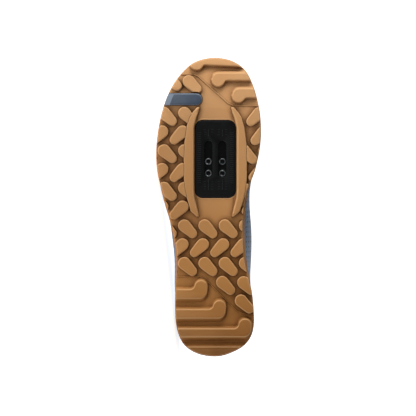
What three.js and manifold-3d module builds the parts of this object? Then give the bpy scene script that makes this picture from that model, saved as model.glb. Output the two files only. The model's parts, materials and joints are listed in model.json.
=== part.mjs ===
// A right-foot off-road cycling shoe with a lugged gum sole and a two-slot cleat plate.
// It is modelled standing, then laid on its outer side, as it comes to rest on a floor.
// Millimetres. While it stands: x runs from heel to toe, y to the inner side, z up from the tread.
import * as THREE from 'three';
import { ConvexHull } from 'three/addons/math/ConvexHull.js';
import { mergeVertices } from 'three/addons/utils/BufferGeometryUtils.js';
import Module from 'manifold-3d';

const wasm = await Module();
wasm.setup();

// Sole sizes
const soleLength = 300;
const ballWidth = 105;
const lugHeight = 4.5;
const treadBase = 3.5;
const toeSpring = 14;
const heelLift = 5;
const archRise = 1.5;
const wrapHeight = 8;
const wrapToeExtra = 2.5;
const wrapWall = 2.2;
const wrapStep = 0.8;
const edgeRound = 1.2;
const waistTuckInner = 2.2;
const waistTuckOuter = 1.4;
const foamHeel = 14;
const foamBall = 8.5;
const foamToe = 6.5;
const foamInset = 0.7;
const lipHeight = 3.5;
const lipWall = 2.4;
const gap = 0.3;

// Lugs, bars and ridges of the tread
const lugBigRadius = 6.4;
const lugSmallRadius = 4.8;
const lugReachX = 8.1;
const lugReachY = 8.3;
const lugRowPitch = 18.78;
const lugColumnPitch = 20.3;
const lugFirstX = 0.8133 * soleLength;
const lugFirstY = -0.4857 * ballWidth;
const lugRowShift = 1.8;
const lugChamfer = 1;
const lugSpread = 0.3;
const heelBarHalf = 3.8;
const heelBarFillet = 5.5;
const toeBarHalf = 3.4;
const toeBarFillet = 3;
const barHeadRadius = 6;
const barBackRadius = 6.6;
const barBackOffset = 1;
const barSideSlope = 2;
const heelBarSlopes = { toeward: 3.6, heelward: 4.2 };
const toeBarSlopes = { toeward: 3, heelward: 2.2 };
const heelBarX = 9;
const toeBarX = 0.9773 * soleLength;

// Cleat plate, its pocket and the threaded nut plate
const plateCentreX = 0.66 * soleLength;
const plateCentreY = 0.4;
const plateLength = 78;
const plateWidth = 41.4;
const plateCorner = 8;
const plateThickness = 2.6;
const plateDepth = 2;
const slotSpacing = 14;
const slotLength = 37;
const slotRadius = 4.2;
const rampToeLength = 12.5;
const rampHeelLength = 19;
const rampHalfWidth = 16;
const nutLength = 43;
const nutWidth = 25;
const nutThickness = 2.2;
const nutHoleRadius = 2.2;
const nutHolePitch = 11.8;
const nutHoleSetBack = 8.4;

// Inset badge at the outer toe
const badgeX = 0.8593 * soleLength;
const badgeWidth = 12.5;
const badgeEndY = -0.119 * ballWidth;
const badgeSunk = 0.7;

// Upper
const upperWall = 2.2;
const coneHeight = 140;
const heelCrownX = 42;
const toeCrownX = 262;
const collarPad = 4;
const collarPadDepth = 26;
const overlayThickness = 1;
const throatFrontX = 195;
const throatTopX = 112;
const throatFrontRadius = 9;
const throatTopHalf = 16.5;
const eyestayWidth = 14;
const eyestayFrontMargin = 11;
const toeCapTopX = 258;
const toeCapSideX = 226;
const counterTopX = 24;
const counterLowX = 50;
const counterTop = 74;
const tongueThickness = 4;
const tongueSlope = 0.8;
const tongueTopReach = 16;
const tongueTopHalf = 27;
const tongueTopCorner = 13;
const tongueFrontX = 203;
const tongueOverlap = 9;
const insoleThickness = 4.5;
const insoleEdge = 1.4;
const insoleGap = 0.5;

// Lacing
const eyeletPairs = 5;
const eyeletFirstX = 185;
const eyeletPitch = 14.5;
const eyeletSetBack = 6.5;
const eyeletHole = 2.2;
const eyeletRim = 4;
const eyeletThickness = 1;
const laceWidth = 6;
const laceThickness = 1.4;
const laceClearance = 0.9;
const laceSteps = 7;

// How finely the curved bodies are divided
const stations = 28;
const columnSteps = 6;
const roundSteps = 8;

// Outline of the sole: shares of the sole length, and of the ball width to each side
const outlineRows = [
  { along: 0, inner: 0, outer: 0 },
  { along: 0.01, inner: 0.138, outer: 0.171 },
  { along: 0.037, inner: 0.279, outer: 0.29 },
  { along: 0.077, inner: 0.356, outer: 0.353 },
  { along: 0.13, inner: 0.375, outer: 0.38 },
  { along: 0.223, inner: 0.354, outer: 0.383 },
  { along: 0.33, inner: 0.305, outer: 0.38 },
  { along: 0.437, inner: 0.29, outer: 0.429 },
  { along: 0.543, inner: 0.319, outer: 0.513 },
  { along: 0.637, inner: 0.397, outer: 0.559 },
  { along: 0.717, inner: 0.438, outer: 0.559 },
  { along: 0.797, inner: 0.437, outer: 0.523 },
  { along: 0.863, inner: 0.404, outer: 0.466 },
  { along: 0.917, inner: 0.355, outer: 0.389 },
  { along: 0.957, inner: 0.292, outer: 0.296 },
  { along: 0.983, inner: 0.202, outer: 0.207 },
  { along: 0.997, inner: 0.09, outer: 0.09 },
  { along: 1, inner: 0, outer: 0 },
];

// Sections of the last. crown and swells are shares of the cone height and of the half width;
// shift is a share of the ball width, and full is the exponent of the section's curve.
const lastRows = [
  { along: 0, crown: 1, shift: -0.01, full: 4.4, swellIn: 0.05, swellOut: 0.05 },
  { along: 0.14, crown: 1, shift: -0.01, full: 4.4, swellIn: 0.06, swellOut: 0.06 },
  { along: 0.25, crown: 1, shift: -0.015, full: 4, swellIn: 0.1, swellOut: 0.12 },
  { along: 0.33, crown: 0.975, shift: -0.02, full: 3.2, swellIn: 0.27, swellOut: 0.14 },
  { along: 0.393, crown: 0.855, shift: -0.025, full: 2.5, swellIn: 0.36, swellOut: 0.13 },
  { along: 0.44, crown: 0.775, shift: -0.025, full: 2.25, swellIn: 0.36, swellOut: 0.1 },
  { along: 0.5, crown: 0.7, shift: -0.02, full: 2.1, swellIn: 0.27, swellOut: 0.08 },
  { along: 0.567, crown: 0.618, shift: -0.01, full: 2.1, swellIn: 0.15, swellOut: 0.04 },
  { along: 0.633, crown: 0.545, shift: 0.005, full: 2.15, swellIn: 0.06, swellOut: 0.02 },
  { along: 0.717, crown: 0.462, shift: 0.015, full: 2.3, swellIn: 0.02, swellOut: 0.01 },
  { along: 0.8, crown: 0.402, shift: 0.01, full: 2.45, swellIn: 0.01, swellOut: 0.01 },
  { along: 0.873, crown: 0.36, shift: 0.005, full: 2.6, swellIn: 0.02, swellOut: 0.02 },
  { along: 1, crown: 0.36, shift: 0, full: 2.6, swellIn: 0.03, swellOut: 0.03 },
];

// Top line of the collar seen from the side: shares of the sole length and of the cone height
const collarRows = [
  { along: -0.03, height: 0.715 },
  { along: 0.015, height: 0.715 },
  { along: 0.06, height: 0.675 },
  { along: 0.12, height: 0.615 },
  { along: 0.18, height: 0.59 },
  { along: 0.24, height: 0.605 },
  { along: 0.31, height: 0.66 },
  { along: 0.37, height: 0.745 },
  { along: 0.4, height: 0.83 },
];

// Half outline of the pocket's two ridges: shares of the plate length and width from its centre
const ridgeRows = [
  { along: 0.665, innerEdge: 0.39, outerEdge: 0.45 },
  { along: 0.6, innerEdge: 0.41, outerEdge: 0.55 },
  { along: 0.53, innerEdge: 0.46, outerEdge: 0.635 },
  { along: 0.4, innerEdge: 0.52, outerEdge: 0.705 },
  { along: 0.2, innerEdge: 0.52, outerEdge: 0.755 },
  { along: 0, innerEdge: 0.52, outerEdge: 0.765 },
  { along: -0.24, innerEdge: 0.52, outerEdge: 0.765 },
  { along: -0.4, innerEdge: 0.52, outerEdge: 0.735 },
  { along: -0.5, innerEdge: 0.505, outerEdge: 0.69 },
  { along: -0.65, innerEdge: 0.435, outerEdge: 0.61 },
  { along: -0.75, innerEdge: 0.395, outerEdge: 0.42 },
];

// Rows of drop-shaped lugs. A lug leans to the inner side (1) or the outer side (-1)
const lugRows = [
  { row: 0, lean: 1, columns: [0, 1] },
  { row: 1, lean: -1, columns: [0, 1] },
  { row: 2, lean: 1, columns: [-1, 0, 1] },
  { row: 3, lean: -1, columns: [0, 1] },
  { row: 4, lean: 1, columns: [0, 1] },
  { row: 5, lean: -1, columns: [0, 1] },
  { row: 6, lean: 1, columns: [0, 1, 2, 3, 4] },
  { row: 7, lean: -1, columns: [1, 2, 3, 4] },
  { row: 8, lean: 1, columns: [0, 1, 2, 3, 4] },
];

// Lugs that stand off the grid, by the centre of their big end: shares of the sole length from
// the heel, and of the ball width from the middle
const loneLugs = [
  { along: 0.9207, across: -0.2505, lean: 1 },
  { along: 0.9317, across: -0.4381, lean: 1 },
  { along: 0.8127, across: 0.421, lean: -1 },
  { along: 0.7487, across: 0.461, lean: -1 },
  { along: 0.686, across: 0.2781, lean: 1 },
  { along: 0.6867, across: 0.4695, lean: 1 },
  { along: 0.625, across: 0.4419, lean: -1 },
  { along: 0.5593, across: 0.2781, lean: 1 },
  { along: 0.5123, across: 0.3771, lean: -1 },
  { along: 0.2493, across: 0.0705, lean: 1 },
  { along: 0.2483, across: 0.2714, lean: 1 },
  { along: 0.1877, across: 0.2486, lean: 1 },
];

// Flat tops of the bars, placed in the same shares. Those at the heel run to the outer edge, with
// heads set off towards the toe. Those at the toe run to the inner edge, with heads set off back
const heelBars = [
  { along: 0.21, headAlong: 0.2333, headAcross: -0.1333 },
  { along: 0.1437, headAlong: 0.1667, headAcross: 0.0429 },
  { along: 0.081, headAlong: 0.105, headAcross: 0.2857 },
];
const toeBars = [
  { along: 0.935, headAlong: 0.9243, headAcross: 0.0314 },
  { along: 0.8807, headAlong: 0.8713, headAcross: 0.2248 },
];
const toeRimHead = { along: 0.98, across: -0.1714 };

const materials = {
  gum: new THREE.MeshStandardMaterial({ color: 0xc0905e, roughness: 0.6 }),
  foam: new THREE.MeshStandardMaterial({ color: 0xc99a6a, roughness: 0.7 }),
  nylon: new THREE.MeshStandardMaterial({ color: 0x14181a, roughness: 0.45 }),
  steel: new THREE.MeshStandardMaterial({ color: 0x141618, roughness: 0.35, metalness: 0.8 }),
  badge: new THREE.MeshStandardMaterial({ color: 0x3c4d60, roughness: 0.5 }),
  upper: new THREE.MeshStandardMaterial({ color: 0x3f5873, roughness: 0.8 }),
  overlay: new THREE.MeshStandardMaterial({ color: 0x2b3a4c, roughness: 0.6 }),
  lace: new THREE.MeshStandardMaterial({ color: 0x26303c, roughness: 0.9 }),
  eyelet: new THREE.MeshStandardMaterial({ color: 0x202428, roughness: 0.4, metalness: 0.6 }),
  insole: new THREE.MeshStandardMaterial({ color: 0x22262b, roughness: 0.9 }),
};
// Grams per cubic centimetre, for the balance of the shoe as it lies
const densities = { gum: 1.2, foam: 1.2, nylon: 1.1, steel: 7.85, badge: 1.2, upper: 0.3, overlay: 0.9,
  lace: 0.3, eyelet: 7.85, insole: 0.3 };

// Turns a share of a length into an angle that spreads the round ends
function spreadOf(along) {
  const clamped = THREE.MathUtils.clamp(along, 0, 1);
  return Math.acos(1 - 2 * clamped) + (along - clamped);
}

// Smooth value of a table's column, through its rows
function fromTable(rows, column, along, spread = spreadOf) {
  const at = spread(along);
  const places = rows.map((row) => spread(row.along));
  const last = rows.length - 1;
  let i = places.findIndex((place) => place > at) - 1;
  if (i < 0) i = at <= places[0] ? 0 : last - 1;
  const t = THREE.MathUtils.clamp((at - places[i]) / (places[i + 1] - places[i]), 0, 1);
  const slope = (a, b) => (rows[b][column] - rows[a][column]) / (places[b] - places[a]);
  const span = places[i + 1] - places[i];
  const startSlope = i > 0 ? slope(i - 1, i + 1) : slope(0, 1);
  const endSlope = i + 1 < last ? slope(i, i + 2) : slope(last - 1, last);
  const t2 = t * t;
  const t3 = t2 * t;
  return (2 * t3 - 3 * t2 + 1) * rows[i][column] + (t3 - 2 * t2 + t) * span * startSlope
    + (3 * t2 - 2 * t3) * rows[i + 1][column] + (t3 - t2) * span * endSlope;
}
const smooth = THREE.MathUtils.smoothstep;
const mix = THREE.MathUtils.lerp;
const plain = (along) => along;

// Heights of the sole above the floor it stands on
function treadHeight(x) {
  const springStart = 0.74 * soleLength;
  const heelEnd = 0.09 * soleLength;
  const spring = Math.max(0, (x - springStart) / (soleLength - springStart));
  const lift = Math.max(0, (heelEnd - x) / heelEnd);
  const waist = THREE.MathUtils.clamp((x / soleLength - 0.3) / 0.26, 0, 1);
  return toeSpring * spring ** 2 + heelLift * lift ** 2 + archRise * Math.sin(Math.PI * waist) ** 2;
}
const rootHeight = (x) => treadHeight(x) + lugHeight;
const cupFloor = (x) => rootHeight(x) + treadBase;
const wrapTop = (x) => rootHeight(x) + wrapHeight + wrapToeExtra * smooth(x / soleLength, 0.8, 1);
function bedHeight(x) {
  const along = x / soleLength;
  const foam = foamHeel + (foamBall - foamHeel) * smooth(along, 0.3, 0.68)
    + (foamToe - foamBall) * smooth(along, 0.75, 1);
  return cupFloor(x) + gap + foam;
}

// Tuck of the tread's edge under the foam at the waist
function waistTuck(x, y) {
  const along = x / soleLength;
  const share = smooth(along, 0.2, 0.33) * (1 - smooth(along, 0.52, 0.62));
  return (y > 0 ? waistTuckInner : waistTuckOuter) * share;
}

// The sole's edge as a ring: heel, up the inner side, toe, back down the outer side.
// Points with the same station face each other across the sole.
const stationX = (k) => soleLength * (1 - Math.cos(Math.PI * k / stations)) / 2;
function edgeRing() {
  const side = (k, column, sign) => new THREE.Vector2(stationX(k),
    sign * ballWidth * fromTable(outlineRows, column, stationX(k) / soleLength));
  const ring = [];
  for (let k = 0; k <= stations; k++) ring.push(side(k, 'inner', 1));
  for (let k = stations - 1; k > 0; k--) ring.push(side(k, 'outer', -1));
  return ring;
}
const edge = edgeRing();
const opposite = (i) => (edge.length - i) % edge.length;
const edgeNormals = edge.map((_, i) => {
  const before = edge[(i + edge.length - 1) % edge.length];
  const after = edge[(i + 1) % edge.length];
  return new THREE.Vector2(before.y - after.y, after.x - before.x).normalize();
});
function insetEdge(i, inset) {
  return edge[i].clone().addScaledVector(edgeNormals[i], -inset);
}

// A closed triangle mesh, or a geometry, as a solid that can be joined and cut
function solidOf(geometry) {
  const bare = new THREE.BufferGeometry();
  const source = geometry.index ? geometry.toNonIndexed() : geometry;
  bare.setAttribute('position', source.getAttribute('position'));
  const merged = mergeVertices(bare, 1e-4);
  const index = merged.index.array;
  const kept = [];
  for (let i = 0; i < index.length; i += 3) {
    const [a, b, c] = [index[i], index[i + 1], index[i + 2]];
    if (a !== b && b !== c && a !== c) kept.push(a, b, c);
  }
  return new wasm.Manifold(new wasm.Mesh({
    numProp: 3,
    vertProperties: new Float32Array(merged.getAttribute('position').array),
    triVerts: new Uint32Array(kept),
  }));
}
function solidFromTriangles(triangles) {
  const geometry = new THREE.BufferGeometry();
  const flat = triangles.flatMap((point) => [point.x, point.y, point.z]);
  geometry.setAttribute('position', new THREE.Float32BufferAttribute(flat, 3));
  return solidOf(geometry);
}
const joined = (solids) => solids.reduce((whole, one) => whole.add(one));

// Walls between rings of points, each ring counter-clockwise from above and above the one before
function ringWalls(rings) {
  const triangles = [];
  const count = rings[0].length;
  for (let r = 0; r + 1 < rings.length; r++) {
    for (let i = 0; i < count; i++) {
      const j = (i + 1) % count;
      triangles.push(rings[r][i], rings[r][j], rings[r + 1][j]);
      triangles.push(rings[r][i], rings[r + 1][j], rings[r + 1][i]);
    }
  }
  return triangles;
}

// A body that follows the sole's edge. Each level has an inset and a height, as functions
function soleBody(levels) {
  const rings = levels.map(({ inset, height }) => edge.map((point, i) => {
    const placed = insetEdge(i, inset(point.x, point.y));
    return new THREE.Vector3(placed.x, placed.y, height(placed.x));
  })).map((ring) => ring.reverse());
  const triangles = ringWalls(rings);
  // Caps are strips across the sole, so that they follow its height along the length
  for (const [ring, facing] of [[rings[0], 1], [rings.at(-1), -1]]) {
    const back = ring.length - 1;
    const at = (k) => ring[(k + ring.length) % ring.length];
    for (let k = 0; k < stations; k++) {
      const [a, b] = [at(back - k), at(back - k - 1)];
      const [c, d] = [at(k - 1), at(k)];
      const strip = [a, b, d, a, d, c];
      triangles.push(...(facing > 0 ? strip : strip.reverse()));
    }
  }
  return solidFromTriangles(triangles);
}

// A block that stands on a plan outline. Each level has a height, and grows the outline by an amount
// that may depend on the way its side faces. tip turns the block about the y axis
function block(outline, levels, tip = 0) {
  const turned = THREE.ShapeUtils.area(outline) < 0 ? [...outline].reverse() : outline;
  const count = turned.length;
  const normals = turned.map((_, i) => {
    const before = turned[(i + count - 1) % count];
    const after = turned[(i + 1) % count];
    return new THREE.Vector2(after.y - before.y, before.x - after.x).normalize();
  });
  const rings = levels.map(({ grow, height }) => turned.map((point, i) => {
    const amount = typeof grow === 'function' ? grow(normals[i]) : grow;
    const placed = point.clone().addScaledVector(normals[i], amount);
    return new THREE.Vector3(placed.x, placed.y, height(placed.x));
  }));
  const triangles = ringWalls(rings);
  for (const [a, b, c] of THREE.ShapeUtils.triangulateShape(turned, [])) {
    triangles.push(rings[0][a], rings[0][c], rings[0][b]);
    triangles.push(rings.at(-1)[a], rings.at(-1)[b], rings.at(-1)[c]);
  }
  const upwards = new THREE.Vector3(0, 1, 0);
  return solidFromTriangles(triangles.map((point) => point.clone().applyAxisAngle(upwards, tip)));
}
const level = (value) => () => value;

// A prism seen from the side, right across the shoe
function sidePrism(points) {
  const shape = new THREE.Shape(points.map(([x, z]) => new THREE.Vector2(x, z)));
  const geometry = new THREE.ExtrudeGeometry(shape, { depth: 2 * ballWidth, bevelEnabled: false });
  geometry.translate(0, 0, -ballWidth);
  geometry.rotateX(Math.PI / 2);
  return solidOf(geometry);
}

function arcPoints(x, y, radius, from, to, steps) {
  return Array.from({ length: steps + 1 }, (_, i) => {
    const angle = mix(from, to, i / steps);
    return new THREE.Vector2(x + radius * Math.cos(angle), y + radius * Math.sin(angle));
  });
}
function roundedRectangle(x, y, length, width, radius, steps = 4) {
  return [[1, 1], [-1, 1], [-1, -1], [1, -1]].flatMap(([sx, sy], i) => arcPoints(
    x + sx * (length / 2 - radius), y + sy * (width / 2 - radius), radius,
    i * Math.PI / 2, (i + 1) * Math.PI / 2, steps));
}

// Plan of a drop-shaped lug: a big round end and a small one towards the heel
function lugOutline(x, y, lean) {
  const reach = Math.hypot(lugReachX, lugReachY);
  const heading = Math.atan2(lean * lugReachY, -lugReachX);
  const spread = Math.acos((lugBigRadius - lugSmallRadius) / reach);
  return [
    ...arcPoints(x, y, lugBigRadius, heading + spread, heading + 2 * Math.PI - spread, 5),
    ...arcPoints(x - lugReachX, y + lean * lugReachY, lugSmallRadius, heading - spread, heading + spread, 3),
  ];
}

// Flat top of a bar with a round head, running out past the edge. Heel bars run to the outer edge
// with a head set off towards the toe, and toe bars are the same turned half round
function barOutline({ along, headAlong, headAcross }, half, fillet, atHeel) {
  const way = atHeel ? 1 : -1;
  const headX = way * (headAlong - along) * soleLength;
  const filletX = half + fillet;
  const filletY = -Math.sqrt((barHeadRadius + fillet) ** 2 - (filletX - headX) ** 2);
  const toHead = Math.atan2(-filletY, headX - filletX);
  const backX = barBackRadius - half;
  const outside = -ballWidth;
  const plan = [
    new THREE.Vector2(half, outside),
    ...arcPoints(filletX, filletY, fillet, Math.PI, toHead, 3),
    ...arcPoints(headX, 0, barHeadRadius, toHead - Math.PI, Math.PI / 2, 5).slice(1),
    ...arcPoints(backX, -barBackOffset, barBackRadius, Math.PI / 2, Math.PI, 4),
    new THREE.Vector2(-half, outside),
  ];
  return plan.map((point) => new THREE.Vector2(along * soleLength + way * point.x,
    headAcross * ballWidth + way * point.y));
}

const treadLevels = (chamferRun, chamferRise) => [
  { grow: -chamferRun, height: treadHeight },
  { grow: 0, height: (x) => treadHeight(x) + chamferRise },
  { grow: 0, height: (x) => rootHeight(x) + edgeRound + 0.2 },
];
const lugAt = (x, y, lean) => block(lugOutline(x, y, lean), [
  { grow: -lugChamfer, height: treadHeight },
  { grow: lugSpread, height: (x) => rootHeight(x) + edgeRound + 0.2 },
]);
// A bar spreads from its flat top to its foot, by slopes that depend on the way they face
const barAt = (outline, { toeward, heelward }) => block(outline, [
  { grow: 0, height: treadHeight },
  {
    grow: (facing) => barSideSlope * facing.y ** 2 + (facing.x > 0 ? toeward : heelward) * facing.x ** 2,
    height: (x) => rootHeight(x) + 0.2,
  },
]);

function ridgeOutline(side) {
  const place = (row, column) => new THREE.Vector2(plateCentreX + row.along * plateLength,
    plateCentreY + side * row[column] * plateWidth);
  return [
    ...ridgeRows.map((row) => place(row, 'outerEdge')),
    ...[...ridgeRows].reverse().map((row) => place(row, 'innerEdge')),
  ];
}

function badgeOutline(grow) {
  const radius = badgeWidth / 2 + grow;
  return [
    new THREE.Vector2(badgeX + radius, -ballWidth),
    ...arcPoints(badgeX, badgeEndY - badgeWidth / 2, radius, 0, Math.PI, 7),
    new THREE.Vector2(badgeX - radius, -ballWidth),
  ];
}

function pocketBlock(grow, low, high) {
  const outline = roundedRectangle(plateCentreX, plateCentreY, plateLength + 2 * grow,
    plateWidth + 2 * grow, plateCorner + grow);
  return block(outline, [{ grow: 0, height: level(low) }, { grow: 0, height: level(high) }]);
}

// Ramps that lead a cleat down to the plate from both ends of the pocket
function pocketRamps() {
  const plateFace = lugHeight + plateDepth;
  const ramp = (outerX, plateX) => {
    const half = plateCentreY + rampHalfWidth;
    const outline = [[outerX, half], [plateX, half + 3], [plateX, 2 * plateCentreY - half - 3],
      [outerX, 2 * plateCentreY - half]].map(([x, y]) => new THREE.Vector2(x, y));
    const rise = (x) => mix(rootHeight(outerX) - 0.1, plateFace, (x - outerX) / (plateX - outerX));
    return block(outline, [
      { grow: 0, height: (x) => treadHeight(x) - 1 },
      { grow: 0, height: rise },
    ]);
  };
  const toeEnd = plateCentreX + plateLength / 2;
  const heelEnd = plateCentreX - plateLength / 2;
  return joined([ramp(toeEnd + rampToeLength, toeEnd - 2), ramp(heelEnd - rampHeelLength, heelEnd + 2)]);
}

function makeTread() {
  const lugs = lugRows.flatMap(({ row, lean, columns }) => columns.map((column) => {
    const y = lugFirstY + lugColumnPitch * column - (lean < 0 ? lugRowShift : 0);
    return lugAt(lugFirstX - lugRowPitch * row, y, lean);
  }));
  lugs.push(...loneLugs.map(({ along, across, lean }) => lugAt(along * soleLength, across * ballWidth, lean)));
  const pocketKeepOut = block(ridgeOutline(1).slice(0, ridgeRows.length)
    .concat(ridgeOutline(-1).slice(0, ridgeRows.length).reverse()), [
    { grow: -0.5, height: (x) => treadHeight(x) - 2 },
    { grow: -0.5, height: (x) => rootHeight(x) + 2 },
  ]);
  const badgeKeepOut = block(badgeOutline(gap + 1), [
    { grow: 0, height: (x) => treadHeight(x) - 2 },
    { grow: 0, height: (x) => rootHeight(x) + 2 },
  ]);
  const drops = joined(lugs).subtract(pocketKeepOut).subtract(badgeKeepOut);
  const across = ballWidth * 0.7;
  const rimHead = arcPoints(toeRimHead.along * soleLength, toeRimHead.across * ballWidth, barHeadRadius,
    0.7 * Math.PI, 1.4 * Math.PI, 5).map(({ x, y }) => [x, y]);
  const toeRim = [[toeBarX, across], [toeBarX, rimHead[0][1] + toeBarFillet], ...rimHead,
    [soleLength + 20, rimHead.at(-1)[1] - 20], [soleLength + 20, across]];
  const heelRim = [[heelBarX, -across], [heelBarX, across], [-20, across], [-20, -across]];
  const bars = [
    ...heelBars.map((row) => barAt(barOutline(row, heelBarHalf, heelBarFillet, true), heelBarSlopes)),
    ...toeBars.map((row) => barAt(barOutline(row, toeBarHalf, toeBarFillet, false), toeBarSlopes)),
    barAt(heelRim.map(([x, y]) => new THREE.Vector2(x, y)), heelBarSlopes),
    barAt(toeRim.map(([x, y]) => new THREE.Vector2(x, y)), toeBarSlopes),
  ];
  const ridges = [1, -1].map((side) => block(ridgeOutline(side), treadLevels(lugChamfer, lugChamfer)));
  const clip = soleBody([
    { inset: (x, y) => waistTuck(x, y) + edgeRound + 0.2, height: (x) => treadHeight(x) - 1 },
    { inset: (x, y) => waistTuck(x, y) + 0.3, height: (x) => rootHeight(x) + edgeRound + 0.1 },
  ]);
  return joined([drops, ...bars, ...ridges]).intersect(clip);
}

function makeOutsole() {
  const outer = soleBody([
    { inset: (x, y) => waistTuck(x, y) + edgeRound, height: rootHeight },
    { inset: waistTuck, height: (x) => rootHeight(x) + edgeRound },
    { inset: waistTuck, height: (x) => wrapTop(x) - 3 },
    { inset: (x, y) => waistTuck(x, y) + wrapStep, height: (x) => wrapTop(x) - 2.4 },
    { inset: (x, y) => waistTuck(x, y) + wrapStep, height: wrapTop },
  ]);
  const cup = soleBody([
    { inset: (x, y) => waistTuck(x, y) + wrapWall, height: cupFloor },
    { inset: (x, y) => waistTuck(x, y) + wrapWall, height: (x) => wrapTop(x) + 5 },
  ]);
  const badgeSeat = block(badgeOutline(gap), [
    { grow: 0, height: (x) => treadHeight(x) - 2 },
    { grow: 0, height: (x) => rootHeight(x) + badgeSunk + gap },
  ]);
  return outer.subtract(cup).add(makeTread()).subtract(pocketRamps())
    .subtract(pocketBlock(gap, -5, 30)).subtract(badgeSeat);
}

function makeBadge() {
  const body = block(badgeOutline(0), [
    { grow: -lugChamfer, height: treadHeight },
    { grow: 0, height: (x) => treadHeight(x) + lugChamfer },
    { grow: 0, height: (x) => rootHeight(x) + badgeSunk },
  ]);
  const clip = soleBody([
    { inset: level(edgeRound + 1.2), height: (x) => treadHeight(x) - 1 },
    { inset: level(edgeRound + 1.2), height: treadHeight },
    { inset: level(0.2), height: rootHeight },
    { inset: level(0.2), height: (x) => rootHeight(x) + 3 },
  ]);
  return body.intersect(clip);
}

const slotCentreY = (side) => plateCentreY + side * slotSpacing / 2;
const plateFaceZ = lugHeight + plateDepth;
const plateBackZ = plateFaceZ + plateThickness;
function makeCleatPlate() {
  const plate = pocketBlock(0, plateFaceZ, plateBackZ);
  const slots = [1, -1].map((side) => block(
    roundedRectangle(plateCentreX, slotCentreY(side), slotLength, 2 * slotRadius, slotRadius - 0.01, 5), [
      { grow: 0, height: level(plateFaceZ - 1) },
      { grow: 0, height: level(plateBackZ + 1) },
    ]));
  return plate.subtract(joined(slots));
}

const nutHoleX = plateCentreX - nutHoleSetBack;
const nutFaceZ = plateBackZ + gap;
function nutBlock(grow, low, high) {
  return block(roundedRectangle(plateCentreX, plateCentreY, nutLength + 2 * grow, nutWidth + 2 * grow, 2 + grow, 2),
    [{ grow: 0, height: level(low) }, { grow: 0, height: level(high) }]);
}
function makeNutPlate() {
  const holes = [1, -1].flatMap((side) => [1, -1].map((end) => block(
    arcPoints(nutHoleX + end * nutHolePitch / 2, slotCentreY(side), nutHoleRadius, 0, 2 * Math.PI, roundSteps).slice(1), [
      { grow: 0, height: level(nutFaceZ - 1) },
      { grow: 0, height: level(nutFaceZ + nutThickness + 1) },
    ])));
  return nutBlock(0, nutFaceZ, nutFaceZ + nutThickness).subtract(joined(holes));
}

// The last's surface. Ring i goes round the sole's edge; turn goes from the sole to the crown.
// grow moves the surface out of the foot, and may depend on the height
const featherInset = foamInset + lipWall + gap + upperWall;
function lastPoint(i, turn, grow) {
  const inner = i <= stations;
  const nominalX = edge[i].x;
  const along = nominalX / soleLength;
  const column = (name) => fromTable(lastRows, name, along, plain);
  const crownX = THREE.MathUtils.clamp(nominalX, heelCrownX, toeCrownX);
  const crownAlong = crownX / soleLength;
  const crownZ = (x) => coneHeight * fromTable(lastRows, 'crown', x / soleLength, plain);
  const slope = crownZ(crownX + 1) - crownZ(crownX - 1);
  const crown = new THREE.Vector3(crownX, ballWidth * fromTable(lastRows, 'shift', crownAlong, plain),
    crownZ(crownX));
  const power = column('full');
  const shape = (Math.cos(turn) ** power + Math.sin(turn) ** power) ** (1 / power);
  const out = Math.max(0, Math.cos(turn)) / shape;
  const up = Math.sin(turn) / shape;
  const swell = column(inner ? 'swellIn' : 'swellOut') * up * (1 - up) ** 2 * 6.75;
  const floor = bedHeight(nominalX) + gap;
  const growHere = grow(nominalX, floor + (crown.z - floor) * up);
  const base = insetEdge(i, featherInset - growHere);
  crown.z += growHere * Math.hypot(1, slope / 2);
  return new THREE.Vector3(
    mix(crown.x, base.x, out * (1 + swell)),
    mix(crown.y, base.y, out * (1 + swell)),
    mix(floor, crown.z, up));
}

// A solid in the shape of the last, grown by a wall. It starts at the foot bed, or below it
function lastBody(grow, below = 0) {
  const rings = [];
  if (below > 0) {
    rings.push(edge.map((_, i) => lastPoint(i, 0, grow).add(new THREE.Vector3(0, 0, -below))));
  }
  for (let step = 0; step <= columnSteps; step++) {
    rings.push(edge.map((_, i) => lastPoint(i, step / columnSteps * Math.PI / 2, grow)));
  }
  const turned = rings.map((ring) => [...ring].reverse());
  const triangles = ringWalls(turned);
  const bottom = rings[0];
  for (let k = 0; k < stations; k++) {
    const [a, b] = [bottom[k], bottom[k + 1]];
    const [c, d] = [bottom[opposite(k)], bottom[opposite(k + 1)]];
    triangles.push(a, b, d, a, d, c);
  }
  return solidFromTriangles(triangles);
}
const grown = (value) => () => value;

// Height of the last's surface over a point of the throat, and the outward direction there
function surfaceAt(x, y, grow) {
  const index = Array.from({ length: stations + 1 }, (_, k) => k).find((k) => edge[k].x >= x);
  const share = (x - edge[index - 1].x) / (edge[index].x - edge[index - 1].x);
  const centre = ballWidth * fromTable(lastRows, 'shift', x / soleLength, plain);
  const heightOf = (k) => {
    const ringIndex = y >= centre ? k : opposite(k);
    const reach = (turn) => Math.abs(lastPoint(ringIndex, turn, grown(grow)).y - centre);
    let [low, high] = [0.3, Math.PI / 2];
    for (let n = 0; n < 30; n++) {
      const middle = (low + high) / 2;
      if (reach(middle) > Math.abs(y - centre)) low = middle;
      else high = middle;
    }
    return lastPoint(ringIndex, low, grown(grow)).z;
  };
  return new THREE.Vector3(x, y, mix(heightOf(index - 1), heightOf(index), share));
}
function outwardAt(x, y, grow) {
  const here = surfaceAt(x, y, grow);
  const alongX = surfaceAt(x + 1, y, grow).sub(here);
  const alongY = surfaceAt(x, y + 1, grow).sub(here);
  return alongX.cross(alongY).normalize();
}

// How far the surface round a point stands over its tangent plane
function swellAround(x, y, radius, grow) {
  const middle = surfaceAt(x, y, grow);
  const outward = outwardAt(x, y, grow);
  const swells = arcPoints(x, y, radius, 0, 2 * Math.PI, 12).map((point) => surfaceAt(point.x, point.y, grow)
    .sub(middle).dot(outward));
  return Math.max(0, ...swells);
}

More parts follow.
